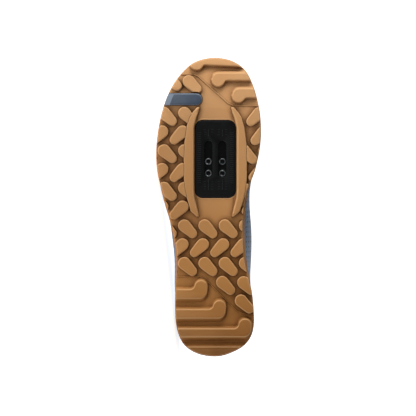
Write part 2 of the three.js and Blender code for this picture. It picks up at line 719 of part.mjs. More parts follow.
// Plan of the throat between the eyestays, widened by a margin
const throatHalf = (x) => mix(throatTopHalf, throatFrontRadius,
  (x - throatTopX) / (throatFrontX - throatFrontRadius - throatTopX));
const throatCentre = (x) => ballWidth * fromTable(lastRows, 'shift', x / soleLength, plain);
function throatOutline(margin, frontMargin) {
  const frontCentreX = throatFrontX - throatFrontRadius;
  const radius = throatFrontRadius + margin;
  const front = arcPoints(0, throatCentre(frontCentreX), radius, -Math.PI / 2, Math.PI / 2, 8)
    .map((point) => new THREE.Vector2(frontCentreX + point.x * (throatFrontRadius + frontMargin) / radius, point.y));
  const backX = throatTopX - 30;
  return [
    ...front,
    new THREE.Vector2(throatTopX, throatCentre(throatTopX) + throatTopHalf + margin),
    new THREE.Vector2(backX, throatCentre(throatTopX) + throatTopHalf + margin),
    new THREE.Vector2(backX, throatCentre(throatTopX) - throatTopHalf - margin),
    new THREE.Vector2(throatTopX, throatCentre(throatTopX) - throatTopHalf - margin),
  ];
}
function throatBlock(margin, frontMargin) {
  return block(throatOutline(margin, frontMargin), [
    { grow: 0, height: level(30) },
    { grow: 0, height: level(coneHeight + 30) },
  ]);
}
function collarLine() {
  const points = [];
  const [first, last] = [collarRows[0].along, collarRows.at(-1).along];
  for (let n = 0; n <= 16; n++) {
    const along = mix(first, last, n / 16);
    points.push([along * soleLength, coneHeight * fromTable(collarRows, 'height', along, plain)]);
  }
  return points;
}
function collarBlock() {
  const top = coneHeight + 40;
  const line = collarLine();
  return sidePrism([...line, [line.at(-1)[0], top], [line[0][0] - 20, top], [line[0][0] - 20, line[0][1]]]);
}

// Extra thickness of the padded collar, growing towards its top line
function collarPadding(x, z) {
  const line = coneHeight * fromTable(collarRows, 'height', x / soleLength, plain);
  const nearTop = smooth(z, line - collarPadDepth, line - collarPadDepth / 3);
  return -collarPad * nearTop * (1 - smooth(x / soleLength, 0.28, 0.35));
}

function eyeletPlaces() {
  return Array.from({ length: eyeletPairs }, (_, n) => eyeletFirstX - n * eyeletPitch)
    .flatMap((x) => [1, -1].map((side) => ({
      x, side, y: throatCentre(x) + side * (throatHalf(x) + eyeletSetBack),
    })));
}
function eyeletHoles() {
  return joined(eyeletPlaces().map(({ x, y }) => {
    const geometry = new THREE.CylinderGeometry(eyeletHole, eyeletHole, 14, roundSteps);
    const outward = outwardAt(x, y, upperWall);
    geometry.applyQuaternion(new THREE.Quaternion().setFromUnitVectors(new THREE.Vector3(0, 1, 0), outward));
    const middle = surfaceAt(x, y, upperWall);
    geometry.translate(middle.x, middle.y, middle.z);
    return solidOf(geometry);
  }));
}

function makeUpper(openings) {
  return lastBody(grown(upperWall)).subtract(lastBody(collarPadding, 3))
    .subtract(openings.collar).subtract(openings.throat).subtract(openings.eyelets);
}

// A sheet laid over the upper, with the air gap between them
const overlayLow = upperWall + gap;
const overlayHigh = overlayLow + overlayThickness;
function overlaySheet() {
  return lastBody(grown(overlayHigh)).subtract(lastBody(grown(overlayLow), 3));
}
const sheetFloor = (x) => bedHeight(x) + lipHeight + 2 * gap;
function aboveLip() {
  return soleBody([
    { inset: level(-30), height: sheetFloor },
    { inset: level(-30), height: level(coneHeight + 60) },
  ]);
}
function makeToeCap(sheet) {
  const region = sidePrism([[toeCapSideX, 0], [toeCapSideX, 22], [toeCapSideX + 12, 36], [toeCapTopX, 90],
    [soleLength + 20, 90], [soleLength + 20, 0]]);
  return sheet.intersect(region);
}
function makeHeelCounter(sheet) {
  return sheet.intersect(sidePrism([[-20, 0], [counterLowX, 0], [counterLowX - 6, counterTop * 0.6],
    [counterTopX, counterTop], [-20, counterTop]]));
}
function makeEyestay(sheet, openings) {
  const region = throatBlock(eyestayWidth, eyestayFrontMargin).intersect(sidePrism([[0, 40], [0, 170],
    [throatFrontX + 40, 170], [throatFrontX + 40, 40]]));
  return sheet.intersect(region).subtract(openings.collar).subtract(openings.throat)
    .subtract(openings.eyelets);
}

function makeTongue() {
  const under = (value) => grown(-value);
  const sheet = lastBody(under(gap + 0.1)).subtract(lastBody(under(gap + 0.1 + tongueThickness), 3));
  const sideView = sidePrism([[60, coneHeight], [60, 120], [throatTopX - 6, 80], [throatTopX + 20, 60],
    [tongueFrontX, 40], [tongueFrontX, 100], [100, coneHeight + 20]]);
  // The free end is rounded in the plane that the tongue slopes in
  const slopeEnd = -Math.hypot(coneHeight, throatTopX) * 0.06 - tongueTopReach;
  const length = 140;
  const freeEnd = block(roundedRectangle(slopeEnd + length / 2, throatCentre(throatTopX), length,
    2 * tongueTopHalf, tongueTopCorner), [
    { grow: 0, height: level(0) },
    { grow: 0, height: level(2 * coneHeight) },
  ], tongueSlope);
  return sheet.intersect(throatBlock(tongueOverlap, tongueOverlap + 8)).intersect(sideView).intersect(freeEnd);
}

// A flat lace bar from eyelet to eyelet, riding over the tongue and up onto the eyestays
function makeLaceBar(x) {
  const reach = throatHalf(x) + eyeletSetBack;
  const high = overlayHigh + gap + eyeletThickness + laceClearance;
  const low = laceClearance;
  const points = [];
  const ups = [];
  for (let n = 0; n <= laceSteps; n++) {
    const y = throatCentre(x) + reach * (1 - 2 * n / laceSteps);
    const half = throatHalf(x);
    const lift = mix(low, high, smooth(Math.abs(y - throatCentre(x)), half * 0.3, half * 0.75));
    const outward = outwardAt(x, y, lift);
    points.push(surfaceAt(x, y, lift).addScaledVector(outward, swellAround(x, y, laceWidth / 2, lift)));
    ups.push(outward);
  }
  const rings = points.map((point, n) => {
    const ahead = points[Math.min(n + 1, laceSteps)].clone().sub(points[Math.max(n - 1, 0)]).normalize();
    const across = ups[n].clone().cross(ahead).normalize().multiplyScalar(laceWidth / 2);
    const up = ups[n].clone().multiplyScalar(laceThickness);
    const end = n === 0 ? -1 : n === laceSteps ? 1 : 0;
    const origin = point.clone().addScaledVector(ahead, end * laceWidth / 2);
    return [
      origin.clone().sub(across), origin.clone().add(across),
      origin.clone().add(across).add(up), origin.clone().sub(across).add(up),
    ];
  });
  const triangles = ringWalls(rings);
  const [start, end] = [rings[0], rings.at(-1)];
  triangles.push(start[0], start[2], start[1], start[0], start[3], start[2]);
  triangles.push(end[0], end[1], end[2], end[0], end[2], end[3]);
  return solidFromTriangles(triangles);
}

function makeMidsole() {
  const inWrap = (x, y) => waistTuck(x, y) + wrapWall + gap;
  const bandTop = (x) => bedHeight(x) + lipHeight;
  const body = soleBody([
    { inset: inWrap, height: (x) => cupFloor(x) + gap },
    { inset: inWrap, height: (x) => wrapTop(x) + gap },
    { inset: level(foamInset), height: (x) => wrapTop(x) + gap + 0.2 },
    { inset: level(foamInset), height: (x) => bandTop(x) - 1 },
    { inset: level(foamInset + 0.9), height: bandTop },
  ]);
  const foot = lastBody(grown(upperWall + gap)).add(soleBody([
    { inset: level(featherInset - upperWall - gap), height: bedHeight },
    { inset: level(featherInset - upperWall - gap), height: (x) => bandTop(x) + 4 },
  ]));
  return body.subtract(foot)
    .subtract(pocketBlock(2 * gap, -5, plateBackZ + gap))
    .subtract(nutBlock(2 * gap, 0, nutFaceZ + nutThickness + 2 * gap));
}

function makeInsole() {
  const side = featherInset + insoleGap;
  return soleBody([
    { inset: level(side), height: (x) => bedHeight(x) + gap },
    { inset: level(side), height: (x) => bedHeight(x) + gap + insoleThickness - insoleEdge },
    { inset: level(side + insoleEdge), height: (x) => bedHeight(x) + gap + insoleThickness },
  ]);
}

function meshOf(name, solid, material) {
  const { vertProperties, triVerts } = solid.getMesh();
  const geometry = new THREE.BufferGeometry();
  geometry.setAttribute('position', new THREE.BufferAttribute(new Float32Array(vertProperties), 3));
  geometry.setIndex(new THREE.BufferAttribute(new Uint32Array(triVerts), 1));
  const mesh = new THREE.Mesh(geometry, materials[material]);
  mesh.name = name;
  mesh.userData.weight = solid.volume() * densities[material];
  return mesh;
}

function makeEyelet({ x, y, side }, number) {
  const profile = [[eyeletHole, 0], [eyeletRim, 0], [eyeletRim, eyeletThickness], [eyeletHole, eyeletThickness],
    [eyeletHole, 0]].map(([radius, height]) => new THREE.Vector2(radius, height));
  const ring = solidOf(new THREE.LatheGeometry(profile, roundSteps));
  const mesh = meshOf(`eyelet_${side > 0 ? 'inner' : 'outer'}_${number}`, ring, 'eyelet');
  const outward = outwardAt(x, y, overlayHigh);
  const middle = surfaceAt(x, y, overlayHigh);
  mesh.quaternion.setFromUnitVectors(new THREE.Vector3(0, 1, 0), outward);
  mesh.position.copy(middle).addScaledVector(outward, gap + swellAround(x, y, eyeletRim, overlayHigh));
  return mesh;
}

// Turns the standing shoe onto its outer side, on the face of its hull that it comes to rest on
function layOnOuterSide(shoe) {
  shoe.updateMatrixWorld(true);
  const points = [];
  const balance = new THREE.Vector3();
  let weight = 0;
  shoe.traverse((part) => {
    if (!part.isMesh) return;
    const positions = part.geometry.getAttribute('position');
    const middle = new THREE.Vector3();
    for (let i = 0; i < positions.count; i++) {
      const point = new THREE.Vector3().fromBufferAttribute(positions, i).applyMatrix4(part.matrixWorld);
      points.push(point);
      middle.add(point);
    }
    balance.addScaledVector(middle.divideScalar(positions.count), part.userData.weight);
    weight += part.userData.weight;
  });
  balance.divideScalar(weight);
  const hull = new ConvexHull().setFromPoints(points);
  let down = new THREE.Vector3(0, -1, 0);
  for (let n = 0; n < 30; n++) {
    const reach = (face) => (face.constant - face.normal.dot(balance)) / face.normal.dot(down);
    const facing = hull.faces.filter((face) => face.normal.dot(down) > 1e-6);
    const met = facing.reduce((best, face) => (reach(face) < reach(best) ? face : best));
    if (met.normal.dot(down) > 1 - 1e-9) break;
    down = met.normal.clone();
  }
  const up = down.clone().negate();
  const heelward = new THREE.Vector3(-1, 0, 0).projectOnPlane(up).normalize();
  const backwards = up.clone().cross(heelward);
  const turn = new THREE.Matrix4().makeBasis(heelward, backwards, up).transpose();
  const laid = new THREE.Group();
  laid.add(shoe);
  laid.quaternion.setFromRotationMatrix(turn);
  const box = new THREE.Box3();
  for (const point of points) box.expandByPoint(point.clone().applyQuaternion(laid.quaternion));
  laid.position.set(-(box.min.x + box.max.x) / 2, -(box.min.y + box.max.y) / 2, -box.min.z);
  return laid;
}

function makeShoe() {
  const openings = { collar: collarBlock(), throat: throatBlock(0, 0), eyelets: eyeletHoles() };
  const sheet = overlaySheet();
  const lowSheet = sheet.intersect(aboveLip());
  const shoe = new THREE.Group();
  shoe.add(meshOf('outsole', makeOutsole(), 'gum'));
  shoe.add(meshOf('midsole', makeMidsole(), 'foam'));
  shoe.add(meshOf('cleat_plate', makeCleatPlate(), 'nylon'));
  shoe.add(meshOf('cleat_nut_plate', makeNutPlate(), 'steel'));
  shoe.add(meshOf('sole_badge', makeBadge(), 'badge'));
  shoe.add(meshOf('insole', makeInsole(), 'insole'));
  shoe.add(meshOf('upper', makeUpper(openings), 'upper'));
  shoe.add(meshOf('toe_cap', makeToeCap(lowSheet), 'overlay'));
  shoe.add(meshOf('heel_counter', makeHeelCounter(lowSheet), 'overlay'));
  shoe.add(meshOf('eyestay', makeEyestay(sheet, openings), 'overlay'));
  shoe.add(meshOf('tongue', makeTongue(), 'upper'));
  eyeletPlaces().forEach((place, n) => shoe.add(makeEyelet(place, Math.floor(n / 2) + 1)));
  for (let n = 0; n < eyeletPairs; n++) {
    shoe.add(meshOf(`lace_bar_${n + 1}`, makeLaceBar(eyeletFirstX - n * eyeletPitch), 'lace'));
  }
  return layOnOuterSide(shoe);
}

export default makeShoe();
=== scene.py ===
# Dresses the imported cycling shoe: a right shoe lying on its outer side, its gum sole to the camera.
# Pieces are modelled standing, in the shoe's own frame (x from heel to toe, y to the inner side,
# z up from the tread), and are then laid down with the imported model.
import json
import math

import bpy
from mathutils import Matrix, Vector
from mathutils.bvhtree import BVHTree


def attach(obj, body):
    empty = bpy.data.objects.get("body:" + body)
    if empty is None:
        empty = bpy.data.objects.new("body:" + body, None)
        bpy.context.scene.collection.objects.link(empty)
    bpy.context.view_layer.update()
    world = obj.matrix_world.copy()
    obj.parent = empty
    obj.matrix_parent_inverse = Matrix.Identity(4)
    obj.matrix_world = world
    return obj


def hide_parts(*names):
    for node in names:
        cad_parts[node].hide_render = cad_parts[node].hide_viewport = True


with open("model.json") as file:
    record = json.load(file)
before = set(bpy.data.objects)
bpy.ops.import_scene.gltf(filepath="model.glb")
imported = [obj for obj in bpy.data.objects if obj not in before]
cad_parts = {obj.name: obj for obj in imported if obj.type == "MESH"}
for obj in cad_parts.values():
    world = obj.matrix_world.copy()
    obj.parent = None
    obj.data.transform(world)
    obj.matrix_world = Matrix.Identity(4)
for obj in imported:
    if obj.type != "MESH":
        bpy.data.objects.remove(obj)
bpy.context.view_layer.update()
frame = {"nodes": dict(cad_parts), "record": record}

MM = 0.001


def rows(columns, values):
    """A table's rows, each by the names of its columns."""
    return [dict(zip(columns.split(), row)) for row in values]


# Sizes shared with the solids, in millimetres
SOLE_LENGTH = 300.0
BALL_WIDTH = 105.0
LUG_HEIGHT = 4.5
TREAD_BASE = 3.5
GAP = 0.3
WRAP_HEIGHT = 8.0
WRAP_TOE_EXTRA = 2.5
LIP_HEIGHT = 3.5
LIP_WALL = 2.4
FOAM_INSET = 0.7
UPPER_WALL = 2.2
OVERLAY_LOW = UPPER_WALL + GAP
OVERLAY_HIGH = OVERLAY_LOW + 1.0
PLATE_X = 198.0
PLATE_Y = 0.4
PLATE_LENGTH = 78.0
PLATE_WIDTH = 41.4
PLATE_CORNER = 8.0
PLATE_THICK = 2.6
PLATE_FACE = LUG_HEIGHT + 2.0
SLOT_SPACING = 14.0
SLOT_LENGTH = 37.0
SLOT_RADIUS = 4.2
NUT_HOLE = 2.2
NUT_HOLE_PITCH = 11.8
NUT_HOLE_BACK = 8.4
BADGE_X = 257.8
BADGE_END_Y = -12.5
BADGE_WIDTH = 12.5
EDGE_ROUND = 1.2
CONE_HEIGHT = 140.0
FEATHER_INSET = FOAM_INSET + LIP_WALL + GAP + UPPER_WALL
CROWN_X = (42.0, 262.0)
COLLAR_PAD = 4.0
COLLAR_PAD_DEPTH = 26.0
THROAT_FRONT_X = 195.0
THROAT_TOP_X = 112.0
THROAT_FRONT_RADIUS = 9.0
THROAT_TOP_HALF = 16.5
EYESTAY_WIDTH = 14.0
EYESTAY_FRONT = 11.0
TOE_CAP_LINE = [(226.0, 0.0), (226.0, 22.0), (238.0, 36.0), (258.0, 90.0)]
COUNTER_LINE = [(50.0, 0.0), (44.0, 44.4), (24.0, 74.0)]
TONGUE_THICK = 4.0
TONGUE_TOP = -0.4
EYELET_PAIRS = 5
EYELET_FIRST_X = 185.0
EYELET_PITCH = 14.5
EYELET_SET_BACK = 6.5
EYELET_HOLE = 2.3
EYELET_THICK = 1.0
LACE_WIDTH = 6.0
LACE_THICK = 1.4
LACE_CLEAR = 0.9

# Outline of the sole: shares of the sole length, and of the ball width to each side
OUTLINE_ROWS = rows("along inner outer", [
    (0, 0, 0), (0.01, 0.138, 0.171), (0.037, 0.279, 0.29), (0.077, 0.356, 0.353), (0.13, 0.375, 0.38),
    (0.223, 0.354, 0.383), (0.33, 0.305, 0.38), (0.437, 0.29, 0.429), (0.543, 0.319, 0.513),
    (0.637, 0.397, 0.559), (0.717, 0.438, 0.559), (0.797, 0.437, 0.523), (0.863, 0.404, 0.466),
    (0.917, 0.355, 0.389), (0.957, 0.292, 0.296), (0.983, 0.202, 0.207), (0.997, 0.09, 0.09), (1, 0, 0),
])

# Sections of the last: crown and swells are shares of the cone height and of the half width,
# shift is a share of the ball width, and full is the exponent of the section's curve
LAST_ROWS = rows("along crown shift full swell_in swell_out", [
    (0, 1, -0.01, 4.4, 0.05, 0.05), (0.14, 1, -0.01, 4.4, 0.06, 0.06), (0.25, 1, -0.015, 4, 0.1, 0.12),
    (0.33, 0.975, -0.02, 3.2, 0.27, 0.14), (0.393, 0.855, -0.025, 2.5, 0.36, 0.13),
    (0.44, 0.775, -0.025, 2.25, 0.36, 0.1), (0.5, 0.7, -0.02, 2.1, 0.27, 0.08),
    (0.567, 0.618, -0.01, 2.1, 0.15, 0.04), (0.633, 0.545, 0.005, 2.15, 0.06, 0.02),
    (0.717, 0.462, 0.015, 2.3, 0.02, 0.01), (0.8, 0.402, 0.01, 2.45, 0.01, 0.01),
    (0.873, 0.36, 0.005, 2.6, 0.02, 0.02), (1, 0.36, 0, 2.6, 0.03, 0.03),
])

# Top line of the collar, seen from the side: shares of the sole length and the cone height
COLLAR_ROWS = rows("along height", [
    (-0.03, 0.715), (0.015, 0.715), (0.06, 0.675), (0.12, 0.615), (0.18, 0.59), (0.24, 0.605),
    (0.31, 0.66), (0.37, 0.745), (0.4, 0.83),
])

# Half outline of the pocket's ridges: shares of the plate length and width from its centre
RIDGE_ROWS = rows("along inner_edge outer_edge", [
    (0.665, 0.375, 0.445), (0.6, 0.41, 0.55), (0.53, 0.46, 0.635), (0.4, 0.52, 0.705),
    (0.2, 0.52, 0.755), (0, 0.52, 0.765), (-0.24, 0.52, 0.765), (-0.4, 0.52, 0.735),
    (-0.5, 0.505, 0.69), (-0.667, 0.425, 0.6), (-0.74, 0.395, 0.45),
])

# Rows of drop-shaped lugs. A lug leans to the inner side (1) or the outer side (-1)
LUG_ROWS = rows("row lean columns", [
    (0, 1, [0, 1]), (1, -1, [0, 1]), (2, 1, [-1, 0, 1]), (3, -1, [0, 1]), (4, 1, [0, 1]),
    (5, -1, [0, 1]), (6, 1, [0, 1, 2, 3, 4]), (7, -1, [1, 2, 3, 4]), (8, 1, [0, 1, 2, 3, 4]),
])

# Lugs that stand off the grid, by the centre of their big end, in millimetres
LONE_LUGS = rows("x y lean", [
    (276.2, -26.3, 1), (279.5, -46.0, 1), (243.8, 44.2, -1), (224.6, 48.4, -1), (205.8, 29.2, 1),
    (206.0, 49.3, 1), (187.5, 46.4, -1), (167.8, 29.2, 1), (153.7, 39.6, -1), (74.8, 7.4, 1),
    (74.5, 28.5, 1), (56.3, 26.1, 1),
])
LUG_BIG = 6.4
LUG_SMALL = 4.8
LUG_REACH = (-8.1, 8.3)
LUG_ROW_PITCH = 18.78
LUG_COLUMN_PITCH = 20.3
LUG_FIRST = (244.0, -51.0)

# Flat tops of the bars: middle, half width, and centre of the round head, in millimetres. Those at
# the heel run out to the outer edge, and those at the toe run to the inner edge
HEEL_BARS = rows("x half head", [
    (63.0, 3.9, (70.0, -14.0)), (43.2, 3.75, (50.0, 4.5)), (24.3, 3.4, (31.5, 30.0)),
])
TOE_BARS = rows("x half head", [
    (280.6, 3.0, (277.4, 3.4)), (264.1, 3.9, (261.3, 23.8)),
])
BAR_HEAD = 6.0
BAR_BACK = 6.6
BAR_BACK_REACH = 5.6
HEEL_BAR_FILLET = 5.5
TOE_BAR_FILLET = 4.6
HEEL_BAR_X = 9.0
TOE_BAR_X = 293.2
TOE_HEAD_Y = -18.0

# How far a bar spreads from its flat top to its foot, by the way that its side faces
HEEL_SLOPES = {"toeward": 3.6, "heelward": 4.2, "sideways": 2.0}
TOE_SLOPES = {"toeward": 3.0, "heelward": 2.2, "sideways": 2.0}

# Thin beads that part the zones of the tread, in millimetres
BEADS = [
    [(283.0, -37.0), (283.0, -21.0), (281.0, -17.0), (254.0, 13.0), (251.7, 18.0), (251.0, 43.0)],
    [(80.5, -42.0), (80.5, -15.0), (76.0, -8.0), (46.0, 22.0), (43.0, 30.0), (43.0, 41.0)],
]


def clamp(value, low=0.0, high=1.0):
    return max(low, min(high, value))


def mix(a, b, share):
    return a + (b - a) * share


def smooth(value, low, high):
    share = clamp((value - low) / (high - low))
    return share * share * (3 - 2 * share)


def spread_ends(along):
    """Turns a share of a length into an angle that spreads the round ends."""
    inside = clamp(along)
    return math.acos(1 - 2 * inside) + (along - inside)


def plain(along):
    return along


def from_table(rows, column, along, spread=spread_ends):
    """Smooth value of a table's column, through its rows."""
    at = spread(along)
    places = [spread(row["along"]) for row in rows]
    last = len(rows) - 1
    i = next((n for n in range(1, last + 1) if places[n] > at), last) - 1
    span = places[i + 1] - places[i]
    t = clamp((at - places[i]) / span)

    def slope(a, b):
        return (rows[b][column] - rows[a][column]) / (places[b] - places[a])

    start = slope(i - 1, i + 1) if i > 0 else slope(0, 1)
    end = slope(i, i + 2) if i + 1 < last else slope(last - 1, last)
    t2, t3 = t * t, t * t * t
    return (
        (2 * t3 - 3 * t2 + 1) * rows[i][column]
        + (t3 - 2 * t2 + t) * span * start
        + (3 * t2 - 2 * t3) * rows[i + 1][column]
        + (t3 - t2) * span * end
    )


# Heights of the sole above the floor that it stands on
def tread_height(x):
    spring = max(0.0, (x / SOLE_LENGTH - 0.74) / 0.26)
    lift = max(0.0, (0.09 - x / SOLE_LENGTH) / 0.09)
    waist = clamp((x / SOLE_LENGTH - 0.3) / 0.26)
    return 14.0 * spring**2 + 5.0 * lift**2 + 1.5 * math.sin(math.pi * waist) ** 2


def root_height(x):
    return tread_height(x) + LUG_HEIGHT


def cup_floor(x):
    return root_height(x) + TREAD_BASE


def wrap_top(x):
    return root_height(x) + WRAP_HEIGHT + WRAP_TOE_EXTRA * smooth(x / SOLE_LENGTH, 0.8, 1)


def bed_height(x):
    along = x / SOLE_LENGTH
    foam = 14.0 + (8.5 - 14.0) * smooth(along, 0.3, 0.68) + (6.5 - 8.5) * smooth(along, 0.75, 1)
    return cup_floor(x) + GAP + foam


def above(level, rise):
    """A level of the sole, raised by so many millimetres."""
    return lambda x: level(x) + rise


def waist_tuck(x, y):
    along = x / SOLE_LENGTH
    share = smooth(along, 0.2, 0.33) * (1 - smooth(along, 0.52, 0.62))
    return (2.2 if y > 0 else 1.4) * share


def tucked(inset):
    """An inset from the sole's edge that grows at the waist."""
    return lambda x, y: waist_tuck(x, y) + inset


class Outline:
    """The sole's edge as a ring: heel, up the inner side, toe, and back down the outer side."""

    def __init__(self, stations):
        self.stations = stations
        self.count = 2 * stations
        self.points = [self._point(i) for i in range(self.count)]
        self.normals = []
        for i in range(self.count):
            before = self.points[i - 1]
            after = self.points[(i + 1) % self.count]
            self.normals.append(Vector((before.y - after.y, after.x - before.x)).normalized())

    def _point(self, i):
        k = i if i <= self.stations else self.count - i
        x = SOLE_LENGTH * (1 - math.cos(math.pi * k / self.stations)) / 2
        side = "inner" if i <= self.stations else "outer"
        sign = 1 if i <= self.stations else -1
        return Vector((x, sign * BALL_WIDTH * from_table(OUTLINE_ROWS, side, x / SOLE_LENGTH)))

    def inset(self, i, inset):
        i %= self.count
        return self.points[i] - self.normals[i] * inset


EDGE = Outline(64)


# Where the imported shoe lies: its frame follows from the two mounts on the sole
def shoe_frame():
    mounts = {mount["name"]: mount for mount in frame["record"]["mounts"]}
    seat = Vector(mounts["cleat_seat"]["pos_m"])
    heel = Vector(mounts["heel_tread"]["pos_m"])
    up = -Vector(mounts["cleat_seat"]["axis"]).normalized()
    seat_here = Vector((PLATE_X, PLATE_Y, PLATE_FACE)) * MM
    heel_here = Vector((42.8, -20.0, 0.0)) * MM
    between = seat - heel
    flat = between - up * between.dot(up)
    flat_here = seat_here - heel_here
    angle = math.atan2(flat_here.y, flat_here.x)
    along = Matrix.Rotation(-angle, 3, up) @ flat.normalized()
    across = up.cross(along)
    turn = Matrix((along, across, up)).transposed()
    place = seat - turn @ seat_here
    return Matrix.Translation(place) @ turn.to_4x4()


SHOE = shoe_frame()


# The camera looks straight at the sole, rolled so that the toe is at the top of the picture
def add_camera():
    aim = SHOE @ (Vector((149.0, -7.0, 2.0)) * MM)
    distance = 6.0
    view = 0.416
    turn = SHOE.to_3x3()
    right = turn @ Vector((0, 1, 0))
    up = turn @ Vector((1, 0, 0))
    back = turn @ Vector((0, 0, -1))
    data = bpy.data.cameras.new("camera")
    data.sensor_width = 36.0
    data.sensor_height = 36.0
    data.sensor_fit = "HORIZONTAL"
    data.lens = 36.0 * distance / view
    camera = bpy.data.objects.new("camera", data)
    facing = Matrix((right, up, back)).transposed().to_4x4()
    camera.matrix_world = Matrix.Translation(aim + back * distance) @ facing
    bpy.context.scene.collection.objects.link(camera)
    bpy.context.scene.camera = camera


add_camera()


# Tools of the modelling bench
def deselect():
    bpy.ops.object.select_all(action="DESELECT")


def only(piece):
    deselect()
    piece.select_set(True)
    bpy.context.view_layer.objects.active = piece


def apply_modifier(piece, kind, **settings):
    modifier = piece.modifiers.new(kind.lower(), kind)
    for name, value in settings.items():
        setattr(modifier, name, value)
    only(piece)
    bpy.ops.object.modifier_apply(modifier=modifier.name)


def cut(piece, cutter, operation="DIFFERENCE", keep=False, solver="EXACT"):
    apply_modifier(piece, "BOOLEAN", object=cutter, operation=operation, solver=solver)
    if not keep:
        bpy.data.objects.remove(cutter)


def carve(piece, cutter, operation="DIFFERENCE"):
    """A cut between two closed bodies with long curved walls that nearly touch."""
    cut(piece, cutter, operation, solver="MANIFOLD")


def soften(piece, width, segments=2, degrees=50):
    """Rounds the edges that are sharper than an angle."""
    limits = {"limit_method": "ANGLE", "angle_limit": math.radians(degrees)}
    apply_modifier(piece, "BEVEL", width=width * MM, segments=segments, **limits)


def drop_doubled_faces(piece):
    """Takes out flaps: pairs of faces with the same corners, and slivers thinner than 0.01 mm."""
    only(piece)
    bpy.ops.object.mode_set(mode="EDIT")
    bpy.ops.mesh.select_all(action="SELECT")
    bpy.ops.mesh.quads_convert_to_tris()
    bpy.ops.mesh.remove_doubles(threshold=0.01 * MM)
    bpy.ops.mesh.dissolve_degenerate(threshold=0.01 * MM)
    bpy.ops.mesh.select_all(action="DESELECT")
    bpy.ops.mesh.select_mode(type="FACE")
    bpy.ops.object.mode_set(mode="OBJECT")
    shared = {}
    for face in piece.data.polygons:
        shared.setdefault(frozenset(face.vertices), []).append(face)
    for faces in shared.values():
        for face in faces:
            face.select = len(faces) > 1
    bpy.ops.object.mode_set(mode="EDIT")
    bpy.ops.mesh.delete(type="ONLY_FACE")
    bpy.ops.mesh.select_mode(type="VERT")
    bpy.ops.mesh.select_all(action="SELECT")
    bpy.ops.mesh.delete_loose()
    bpy.ops.object.mode_set(mode="OBJECT")


def join(name, pieces):
    deselect()
    for piece in pieces:
        piece.select_set(True)
    bpy.context.view_layer.objects.active = pieces[0]
    bpy.ops.object.join()
    pieces[0].name = name
    return pieces[0]


def copy_at(piece, matrix):
    twin = piece.copy()
    twin.data = piece.data.copy()
    bpy.context.scene.collection.objects.link(twin)
    twin.matrix_world = matrix
    return twin


def smooth_shade(piece, degrees=35):
    only(piece)
    bpy.ops.object.shade_smooth_by_angle(angle=math.radians(degrees))


def settle(piece):
    """Puts a piece's place and turn into its mesh."""
    only(piece)
    bpy.ops.object.transform_apply(location=True, rotation=True, scale=True)


def dress(piece, finish, degrees=35):
    """Gives a piece its material, and smooth shading over the edges that are blunter than an angle."""
    piece.data.materials.clear()
    piece.data.materials.append(finish)
    smooth_shade(piece, degrees)


def face_outward():
    """Turns the faces of the mesh in edit mode outward, and leaves edit mode."""
    bpy.ops.mesh.select_all(action="SELECT")
    bpy.ops.mesh.normals_make_consistent(inside=False)
    bpy.ops.object.mode_set(mode="OBJECT")


def grid_body(name, columns, rows, place, wrap=True):
    """A grid primitive whose corners are set by place(column, row); its meeting edges are merged."""
    deselect()
    bpy.ops.mesh.primitive_grid_add(x_subdivisions=columns, y_subdivisions=rows, size=2)
    piece = bpy.context.object
    piece.name = name
    for vertex in piece.data.vertices:
        column = round((vertex.co.x + 1) / 2 * columns)
        row = round((vertex.co.y + 1) / 2 * rows)
        vertex.co = place(column % columns if wrap else column, row) * MM
    bpy.ops.object.mode_set(mode="EDIT")
    bpy.ops.mesh.select_all(action="SELECT")
    bpy.ops.mesh.remove_doubles(threshold=0.002 * MM)
    face_outward()
    return piece


def sole_body(name, levels):
    """A closed body that follows the sole's edge. Each level is (inset, height), both functions."""

    def place(i, row):
        capped = min(max(row, 1), len(levels)) - 1
        inset, height = levels[capped]
        here = EDGE.points[i % EDGE.count]
        point = EDGE.inset(i, inset(here.x, here.y))
        if row in (0, len(levels) + 1):
            facing = EDGE.inset(EDGE.count - i, inset(here.x, -here.y))
            point = (point + facing) / 2
            point.y = (EDGE.points[i % EDGE.count].y + EDGE.points[(EDGE.count - i) % EDGE.count].y) / 2
        return Vector((point.x, point.y, height(here.x)))

    return grid_body(name, EDGE.count, len(levels) + 1, place)


def flat(value):
    return lambda x, y=0.0: value


def arc(x, y, radius, start, end, steps):
    return [
        (x + radius * math.cos(mix(start, end, n / steps)), y + radius * math.sin(mix(start, end, n / steps)))
        for n in range(steps + 1)
    ]


def rounded_rectangle(x, y, length, width, radius, steps=8):
    points = []
    for n, (sx, sy) in enumerate([(1, 1), (-1, 1), (-1, -1), (1, -1)]):
        middle = (x + sx * (length / 2 - radius), y + sy * (width / 2 - radius))
        points += arc(*middle, radius, n * math.pi / 2, (n + 1) * math.pi / 2, steps)
    return points


def follow_sole(piece):
    """Lifts a piece that was modelled on a level floor to the sole's toe spring, heel and arch."""
    for vertex in piece.data.vertices:
        vertex.co.z += tread_height(vertex.co.x / MM) * MM


def subdivide_along(piece, step):
    """Cuts a piece across the shoe at even steps, so that it can follow the sole's curve."""
    xs = [vertex.co.x for vertex in piece.data.vertices]
    only(piece)
    bpy.ops.object.mode_set(mode="EDIT")
    x = math.ceil(min(xs) / step / MM) * step
    while x * MM < max(xs):
        bpy.ops.mesh.select_all(action="SELECT")
        bpy.ops.mesh.bisect(plane_co=(x * MM, 0, 0), plane_no=(1, 0, 0))
        x += step
    bpy.ops.object.mode_set(mode="OBJECT")


